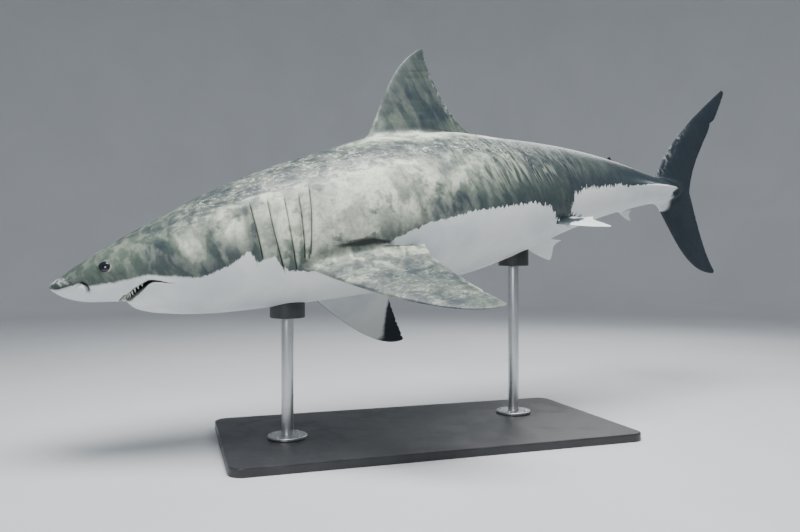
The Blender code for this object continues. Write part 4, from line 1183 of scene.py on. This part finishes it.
def upper_paint(wires, place, fine, crown):
    """The dark side: slate and olive, creamed over where the flank is pale, darker towards the
    tail, with ripples and a net of fine veins on the crown and slanting streaks and threads
    behind it, which are painted sunlight thrown through water ripples."""
    pale, tail = wires.value("pale"), wires.value("tail")
    soft = mottled(wires, place, 5.0, 0.40, 0.62)
    patchy = mottled(wires, wires.stretched(place, (1.0, 1.0, 0.7)), 15.0, 0.42, 0.60)
    blotch = mottled(wires, place, 10.0, 0.52, 0.66)
    slanted = wires.stretched(place, (1.0, 1.0, 1.0), (0.0, 0.52, 0.0))

    upper = wires.mix(soft, SLATE, OLIVE)
    upper = wires.mix(wires.times(patchy, 0.5), upper, OLIVE)
    upper = wires.mix(wires.times(tail, 0.84), upper, DEEP)
    cream = wires.math("ADD", pale, wires.times(patchy, 0.35))
    cream = wires.times(cream, wires.ramp(pale, 0.0, 0.25))
    cream = wires.times(cream, wires.ramp(soft, 0.0, 1.0, 0.55, 1.0))
    cream = wires.times(cream, wires.ramp(blotch, 0.0, 1.0, 1.0, 0.42))
    upper = wires.mix(wires.ramp(cream, 0.05, 0.95), upper, CREAM)
    # The slanting streaks are painted sunlight thrown through water ripples, fading towards the tail.
    streaks = mottled(wires, wires.stretched(slanted, (1.0, 1.0, 0.30)), 26.0, 0.44, 0.62)
    light = wires.times(streaks, wires.ramp(tail, 0.9, 0.0, 0.04, 0.20))
    upper = wires.mix(light, upper, CREAM)
    upper = wires.mix(wires.times(fine, 0.24), upper, SLATE)

    # The crown is darkened to slate; over it lie dark ripples and a net of pale veins, painted sunlight
    # thrown through water ripples and its darker gaps.
    upper = wires.mix(wires.ramp(crown, 0.72, 0.99, 0.0, 0.76), upper, SLATE)
    ripple = mottled(wires, wires.stretched(place, (0.40, 1.0, 1.0)), 27.0, 0.47, 0.55)
    upper = wires.mix(wires.times(wires.times(ripple, crown), 0.80), upper, SLATE)
    net = wires.noise(wires.stretched(place, (9.0, 20.0, 24.0)), 1.0, 3.0, 0.6, 0.8)
    net = wires.times(wires.veins(net, 0.075), wires.ramp(fine, 0.1, 0.9, 0.15, 1.0))
    net = wires.times(net, wires.ramp(patchy, 0.0, 1.0, 0.40, 1.0))
    upper = wires.mix(wires.times(wires.times(net, crown), 0.72), upper, CREAM)
    # The slanting threads are painted sunlight from water ripples too.
    thread = wires.noise(wires.stretched(slanted, (30.0, 8.0, 3.6)), 1.0, 2.5, 0.55, 0.5)
    thread = wires.times(wires.veins(thread, 0.050), wires.value("streak"))
    upper = wires.mix(wires.times(thread, 0.32), upper, CREAM)
    return wires.mix(wires.ramp(tail, 0.80, 1.0, 0.0, 0.78), upper, DEEP), tail


def hide_paint():
    """Both sides' paint, parted along the ragged line, then scars and painted highlights, pores, ink,
    and painted shade in the hollows.
    """
    material, wires, shader, place = new_finish("hide_paint")
    fine = mottled(wires, place, 70.0, 0.42, 0.64)
    upper, tail = upper_paint(wires, place, fine, wires.value("crown"))
    lower = wires.mix(mottled(wires, place, 3.0, 0.40, 0.75), BELLY, BELLY_SHADE)

    spiky = wires.noise(wires.stretched(place, (60.0, 60.0, 11.0)), 1.0, 3.0, 0.6)
    spiky = wires.math("SUBTRACT", spiky, 0.5)
    fringe = wires.noise(wires.stretched(place, (150.0, 150.0, 70.0)), 1.0, 2.0, 0.6)
    fringe = wires.times(wires.math("SUBTRACT", fringe, 0.5), 0.35)
    jag = wires.times(wires.math("ADD", spiky, fringe), wires.value("ragged"))
    level = wires.math("ADD", wires.value("above"), wires.times(jag, 5.0))
    blur = wires.value("blur")
    low_edge = wires.ramp(level, 0.0, 0.12, 1.0, 0.0)
    low_edge = wires.times(low_edge, wires.ramp(tail, 0.1, 0.7, 0.40, 0.75))
    upper = wires.mix(low_edge, upper, SLATE)
    colour = wires.mix(wires.ramp(level, wires.times(blur, -1.0), blur), lower, upper)

    # Pale scuffs on the snout, worn nicks on the first dorsal fin's edge, and painted highlights on the
    # tail's leading edge.
    flaked = mottled(wires, place, 42.0, 0.50, 0.56)
    colour = wires.mix(wires.times(wires.value("scar"), flaked), colour, SCAR_AND_HIGHLIGHT)
    dots = wires.add("TexVoronoi", Vector=place, Scale=150.0).outputs["Distance"]
    dots = wires.times(wires.ramp(dots, 0.21, 0.13), wires.value("pores"))
    colour = wires.mix(wires.times(dots, 0.50), colour, INK)
    ink = wires.value("ink")
    inked = wires.ramp(wires.math("ADD", ink, wires.times(spiky, 0.25)), 0.28, 0.74)
    colour = wires.mix(wires.times(inked, wires.ramp(ink, 0.02, 0.2)), colour, INK)
    # Painted shade, near-black, in the slits, the mouth, the nostrils, the eye rims, the armpit crease,
    # under the snout's tip and under the first dorsal fin's free tip.
    colour = wires.mix(wires.value("hollow"), colour, SHADE_BLACK)
    rough = wires.ramp(mottled(wires, place, 90.0, 0.3, 0.7), 0.0, 1.0, 0.42, 0.55)
    grain = wires.noise(place, 900.0, 2.0, 0.6)
    wrinkle = wires.noise(wires.stretched(place, (1.0, 1.0, 0.35)), 60.0, 4.0, 0.6)
    height = wires.math("ADD", wires.times(grain, 0.35), wrinkle)
    wires.plug(
        shader, Base_Color=colour, Roughness=rough, Normal=wires.bumps(height, 0.35, 0.0012),
        Specular_IOR_Level=0.36, Coat_Weight=0.08, Coat_Roughness=0.28,
    )
    return material


hide.data.materials.append(hide_paint())
flesh = [
    "head", "lower_jaw", "gill_region", "trunk", "tail_stock", "caudal_fin_upper",
    "caudal_fin_lower", "dorsal_fin_first", "dorsal_fin_second", "anal_fin", *PAIRED_FINS,
]
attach(hide, "root")
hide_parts(*flesh)


# ==== Eyes ====
# Each eye is a cast glass ball, black with a faint blue ring, polished and set in its socket
# from behind. Behind the rim of skin it is drawn in, to clear the thin snout.
def new_piece(name, points, faces, finish, slot, values):
    """A finished mesh piece that rides on the still body."""
    piece = mesh_object(name, points, faces, values, sharp=50)
    piece.data.materials.append(finish)
    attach(piece, "root")
    return piece


def eye_glass():
    """Black glass; between two angles off the eye's axis it shows fine threads of dark blue."""
    material, wires, shader, place = new_finish("eye_glass")
    gaze = wires.value("gaze")
    threads = mottled(wires, place, 320.0, 0.40, 0.70)
    blue = wires.mix(threads, (0.003, 0.005, 0.010), (0.008, 0.014, 0.026))
    colour = wires.mix(wires.ramp(gaze, 0.12, 0.20), (0.002, 0.002, 0.003), blue)
    colour = wires.mix(wires.ramp(gaze, 0.50, 0.58), colour, (0.010, 0.010, 0.012))
    wires.plug(shader, Base_Color=colour, Roughness=0.06, Coat_Weight=1.0, Coat_Roughness=0.02)
    return material


glass = eye_glass()
for side, name in ((-1, "left"), (1, "right")):
    polar, turn = rings(np.linspace(0, math.pi, 42)[1:-1], 56)
    ring = np.sin(polar)[..., None] * round_eye(side, turn)
    drawn_in = EYE_RADIUS * (1 - 0.15 * smooth(polar, 0.60, 1.15))[..., None]
    ball = eye_centre[side] + drawn_in * (ring + np.cos(polar)[..., None] * eye_axis[side])
    flat, faces = joined([closed(ball)])
    gaze = np.arccos(np.clip(unit(flat - eye_centre[side]) @ eye_axis[side], -1, 1))
    eye = new_piece(f"eye_ball_{name}", placed(flat), faces, glass, "shark_eye", {"gaze": gaze})
    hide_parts(f"eye_{name}")


# ==== Teeth ====
# Broad saw-edged blades above and narrower ones below, cast in resin and set in the gums just
# inside each lip, leaning a little inwards.
TEETH_A_SIDE, TOOTH_PITCH, SAW_TEETH = 13, 0.0046, 18
TOOTH_FOOT = 0.0012  # how deep each tooth stands in the gum
TOOTH_RISES, TOOTH_AROUND = np.linspace(0, 0.985, 16), 12
TOOTH_ROWS = {  # lip, which way the teeth point, width, inset, tallest, share of the gape
    "upper": (upper_lip, -1.0, 0.0042, 0.0028, 0.0036, 0.28),
    "lower": (lower_lip, 1.0, 0.0030, 0.0034, 0.0040, 0.40),
}


def tooth(root, along, inward, down, width, height):
    """A blade: width falls to the point along a slightly hollow side, with saw teeth on both
    edges; the section is a flat lens, and the blade leans inwards by the square of its height."""
    rise, turn = rings(TOOTH_RISES, TOOTH_AROUND)
    half = width / 2 * (1 - rise) ** 0.85 * (1 + 0.05 * np.sin(rise * SAW_TEETH * math.pi))
    thick = 0.30 * width * (1 - 0.75 * rise) * 0.5
    lean = 0.16 * height * rise**2
    return (
        root + (half * np.cos(turn))[..., None] * along
        + (thick * np.sin(turn) + lean)[..., None] * inward
        + (height * rise)[..., None] * down
    )


def tooth_enamel():
    """Ivory, stained in fine patches, that runs into the red of the gum at its foot."""
    material, wires, shader, place = new_finish("tooth_enamel")
    stain = mottled(wires, place, 160.0, 0.35, 0.75)
    colour = wires.mix(stain, (0.70, 0.69, 0.62), (0.46, 0.43, 0.35))
    gum = wires.ramp(wires.value("rise"), 0.10, 0.0)
    colour = wires.mix(gum, colour, (0.36, 0.17, 0.15))
    wires.plug(shader, Base_Color=colour, Roughness=wires.ramp(stain, 0.0, 1.0, 0.22, 0.36))
    return material


enamel = tooth_enamel()
for row, (line, hang, wide, inset, tallest, gape_share) in TOOTH_ROWS.items():
    right = line[len(line) // 2:]
    down = np.array([0, 0, hang])
    teeth = []
    for i in range(TEETH_A_SIDE):
        here, ahead, behind = point_at(right, (i + np.array([0.5, 1.0, 0.0])) * TOOTH_PITCH)
        along = unit((ahead - behind) * (1, 1, 0))
        inward = np.array([along[1], -along[0], 0.0])
        inward = inward * np.sign(inward @ (np.array([0.12, 0, here[2]]) - here))
        station = here[0] + bow(here[1])
        gape = lip_height(station, 1, here[1]) - lip_height(station, 2, here[1])
        tall = min(tallest, gape_share * gape + 0.0003) + TOOTH_FOOT
        root = here + inward * inset - TOOTH_FOOT * down
        made = tooth(root, along, inward, down, wide * (1 - 0.035 * i), tall)
        teeth += [closed(made * (1, side, 1)) for side in (-1, 1)]
    points, faces = joined(teeth)
    rises = np.append(np.repeat(TOOTH_RISES, TOOTH_AROUND), (0, 1))
    new_piece(
        f"teeth_{row}", placed(points), faces, enamel, "shark_belly",
        {"rise": np.tile(rises, len(teeth))},
    )


# ==== Stand ====
# A flat steel base with rounded corners in black satin paint, two brushed steel rods on
# screwed flanges, and black saddles under the belly. The base keeps its solid, painted; the
# rods, flanges and saddles are turned round bars in the place of theirs.
def satin_black():
    """Sprayed black: a slow haze in tone and gloss, pale dust specks and a faint orange peel."""
    material, wires, shader, place = new_finish("satin_black")
    haze = mottled(wires, place, 7.0, 0.35, 0.70)
    speck = mottled(wires, place, 420.0, 0.62, 0.72)
    colour = wires.mix(haze, (0.022, 0.023, 0.025), (0.034, 0.035, 0.038))
    colour = wires.mix(wires.times(speck, 0.25), colour, (0.10, 0.10, 0.10))
    peel = wires.noise(place, 260.0, 2.0)
    wires.plug(
        shader, Base_Color=colour, Roughness=wires.ramp(haze, 0.0, 1.0, 0.34, 0.46),
        Normal=wires.bumps(peel, 0.12, 0.0006),
    )
    return material


def brushed_steel():
    """Bare steel with fine level lines round each bar, in tone, gloss and height."""
    material, wires, shader, place = new_finish("brushed_steel")
    lines = wires.noise(wires.stretched(place, (30.0, 30.0, 900.0)), 1.0, 3.0, 0.7)
    wires.plug(
        shader, Base_Color=wires.mix(lines, (0.50, 0.51, 0.52), (0.66, 0.67, 0.68)),
        Roughness=wires.ramp(lines, 0.2, 0.8, 0.24, 0.40), Metallic=1.0,
        Normal=wires.bumps(lines, 0.10, 0.0004),
    )
    return material


ROUND_SIDES = 96  # of each round bar, and of the studio's floor


def lathe(radii, heights, around):
    """A profile of radii and heights turned about the upright axis, as rings of points."""
    off, turn = rings(radii, around)
    return np.stack([off * np.cos(turn), off * np.sin(turn), heights[:, None] + 0 * turn], -1)


def turned(node, edge):
    """A round bar in the place of an upright solid: the solid's box gives its axis, radius and
    ends, and both rims are rounded by a quarter circle."""
    low, high = (np.array(corner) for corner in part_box(node))
    radius = (high[0] - low[0]) / 2
    arc = np.linspace(0, math.pi / 2, 7)
    radii = radius - edge + edge * np.concatenate([[-0.6], np.sin(arc), np.cos(arc), [-0.6]])
    rises = edge * np.concatenate([[0], 1 - np.cos(arc), 1 - np.sin(arc), [0]])
    heights = np.where(np.arange(len(rises)) < len(rises) // 2, low[2] + rises, high[2] - rises)
    return closed((low + high) / 2 * (1, 1, 0) + lathe(radii, heights, ROUND_SIDES))


SCREW_RADIUS, SCREW_HEIGHT, SCREWS = 0.0085, 0.0055, 4
SCREW_WALL, SCREW_CIRCLE = 0.25, 0.76  # share of the head's outline, and of the flange's radius


def screw_heads(node):
    """Domed screw heads evenly round a flange: a short wall, then a quarter of a wave."""
    low, high = (np.array(corner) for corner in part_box(node))
    arc = np.linspace(0, 1, 9)
    swing = (arc - SCREW_WALL) / (1 - SCREW_WALL) * math.pi / 2
    radius = SCREW_RADIUS * np.where(arc < SCREW_WALL, 1.0, np.cos(swing) * 0.97 + 0.03)
    rise = SCREW_HEIGHT * np.where(arc < SCREW_WALL, arc * 1.6, 0.4 + 0.6 * np.sin(swing))
    head = lathe(radius, rise, 24)
    off = SCREW_CIRCLE * (high[0] - low[0]) / 2
    middle = (low + high) / 2 * (1, 1, 0) + (0, 0, high[2])
    return [
        closed(head + middle + off * np.array([math.cos(angle), math.sin(angle), 0]))
        for angle in math.pi * (0.25 + 2 / SCREWS * np.arange(SCREWS))
    ]


black, steel = satin_black(), brushed_steel()
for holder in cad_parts["stand_base"].material_slots:
    holder.material = black
rods = [("stand_rod_front", 0.001), ("stand_rod_rear", 0.001)]
flanges = [("stand_flange_front", 0.004), ("stand_flange_rear", 0.004)]
steelwork = joined([turned(*rod) for rod in rods + flanges])
piece = new_piece("stand_steelwork", *steelwork, steel, "stand_steel", {})
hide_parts(*[name for name, _ in rods + flanges])
saddles = ["stand_saddle_front", "stand_saddle_rear"]
cushions = joined([turned(name, 0.005) for name in saddles])
piece = new_piece("stand_saddles", *cushions, black, "stand_paint", {})
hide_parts(*saddles)
screws = joined([head for name, _ in flanges for head in screw_heads(name)])
new_piece("stand_screws", *screws, steel, "stand_steel", {})


# ==== Studio ====
# A round pale floor that curves up into a wall on every side, lit by a large soft light
# overhead, a weaker one beside the camera and a rim light behind.
FLOOR_RADIUS, COVE_RADIUS, WALL_TOP = 9.0, 3.5, 9.0


def studio_floor():
    """A disc, a quarter round and a wall turned about the upright axis."""
    inner = np.linspace(0.05, FLOOR_RADIUS, 24)
    arc = np.linspace(0, math.pi / 2, 20)[1:]
    cove = FLOOR_RADIUS + COVE_RADIUS * np.sin(arc)
    radii = np.concatenate([inner, cove, [FLOOR_RADIUS + COVE_RADIUS]])
    height = np.concatenate([0 * inner, COVE_RADIUS * (1 - np.cos(arc)), [WALL_TOP]])
    up = np.zeros((ROUND_SIDES * len(radii) + 1, 3)) + (0, 0, 1.0)
    paper = panel(lathe(radii, height, ROUND_SIDES), {}, first_pole=True, outside=up)
    floor = mesh_object("studio_floor", *joined([paper]), {})
    material, wires, shader, place = new_finish("studio_paper")
    cloud = mottled(wires, place, 0.8, 0.3, 0.7)
    tint = wires.mix(cloud, (0.60, 0.62, 0.64), (0.63, 0.65, 0.67))
    wires.plug(shader, Base_Color=tint, Roughness=0.85)
    floor.data.materials.append(material)
    return floor


studio_floor()


def soft_light(name, place, aim, width, height, power):
    """An oval softbox that looks at a point."""
    lamp = bpy.data.lights.new(name, "AREA")
    lamp.shape = "ELLIPSE"
    lamp.size, lamp.size_y, lamp.energy = width, height, power
    holder = bpy.data.objects.new(name, lamp)
    bpy.context.scene.collection.objects.link(holder)
    look = np.array(aim) - np.array(place)
    yaw = math.atan2(look[1], look[0])
    tilt = math.atan2(math.hypot(look[0], look[1]), -look[2])
    holder.location = place
    holder.rotation_euler = (tilt, 0.0, yaw - math.pi / 2)


LAMPS = {  # place, point that it looks at, width, height, watts
    "overhead": ((-0.6, -1.2, 5.2), (0.0, 0.0, 1.0), 4.6, 3.0, 520.0),
    "beside_camera": ((-3.6, -4.6, 2.2), (0.0, 0.0, 1.1), 2.6, 2.0, 58.0),
    "rim": ((3.2, 3.8, 3.6), (0.0, 0.0, 1.2), 2.6, 2.0, 90.0),
}
for name, lamp in LAMPS.items():
    soft_light(name, *lamp)
world = bpy.data.worlds.new("studio_air")
bpy.context.scene.world = world
world.use_nodes = True
air = world.node_tree.nodes["Background"]
Wiring(world.node_tree).plug(air, Color=(0.86, 0.92, 1.0, 1.0), Strength=0.30)

CAMERA_PLACE, CAMERA_HEADING, CAMERA_LENS = (-1.5337, -3.0504, 0.7742), -18.07, 31.5
lens = bpy.data.cameras.new("viewpoint")
lens.lens, lens.sensor_width = CAMERA_LENS, 36.0
camera = bpy.data.objects.new("viewpoint", lens)
bpy.context.scene.collection.objects.link(camera)
camera.location = CAMERA_PLACE
camera.rotation_euler = (math.pi / 2, 0.0, math.radians(CAMERA_HEADING))
bpy.context.scene.camera = camera
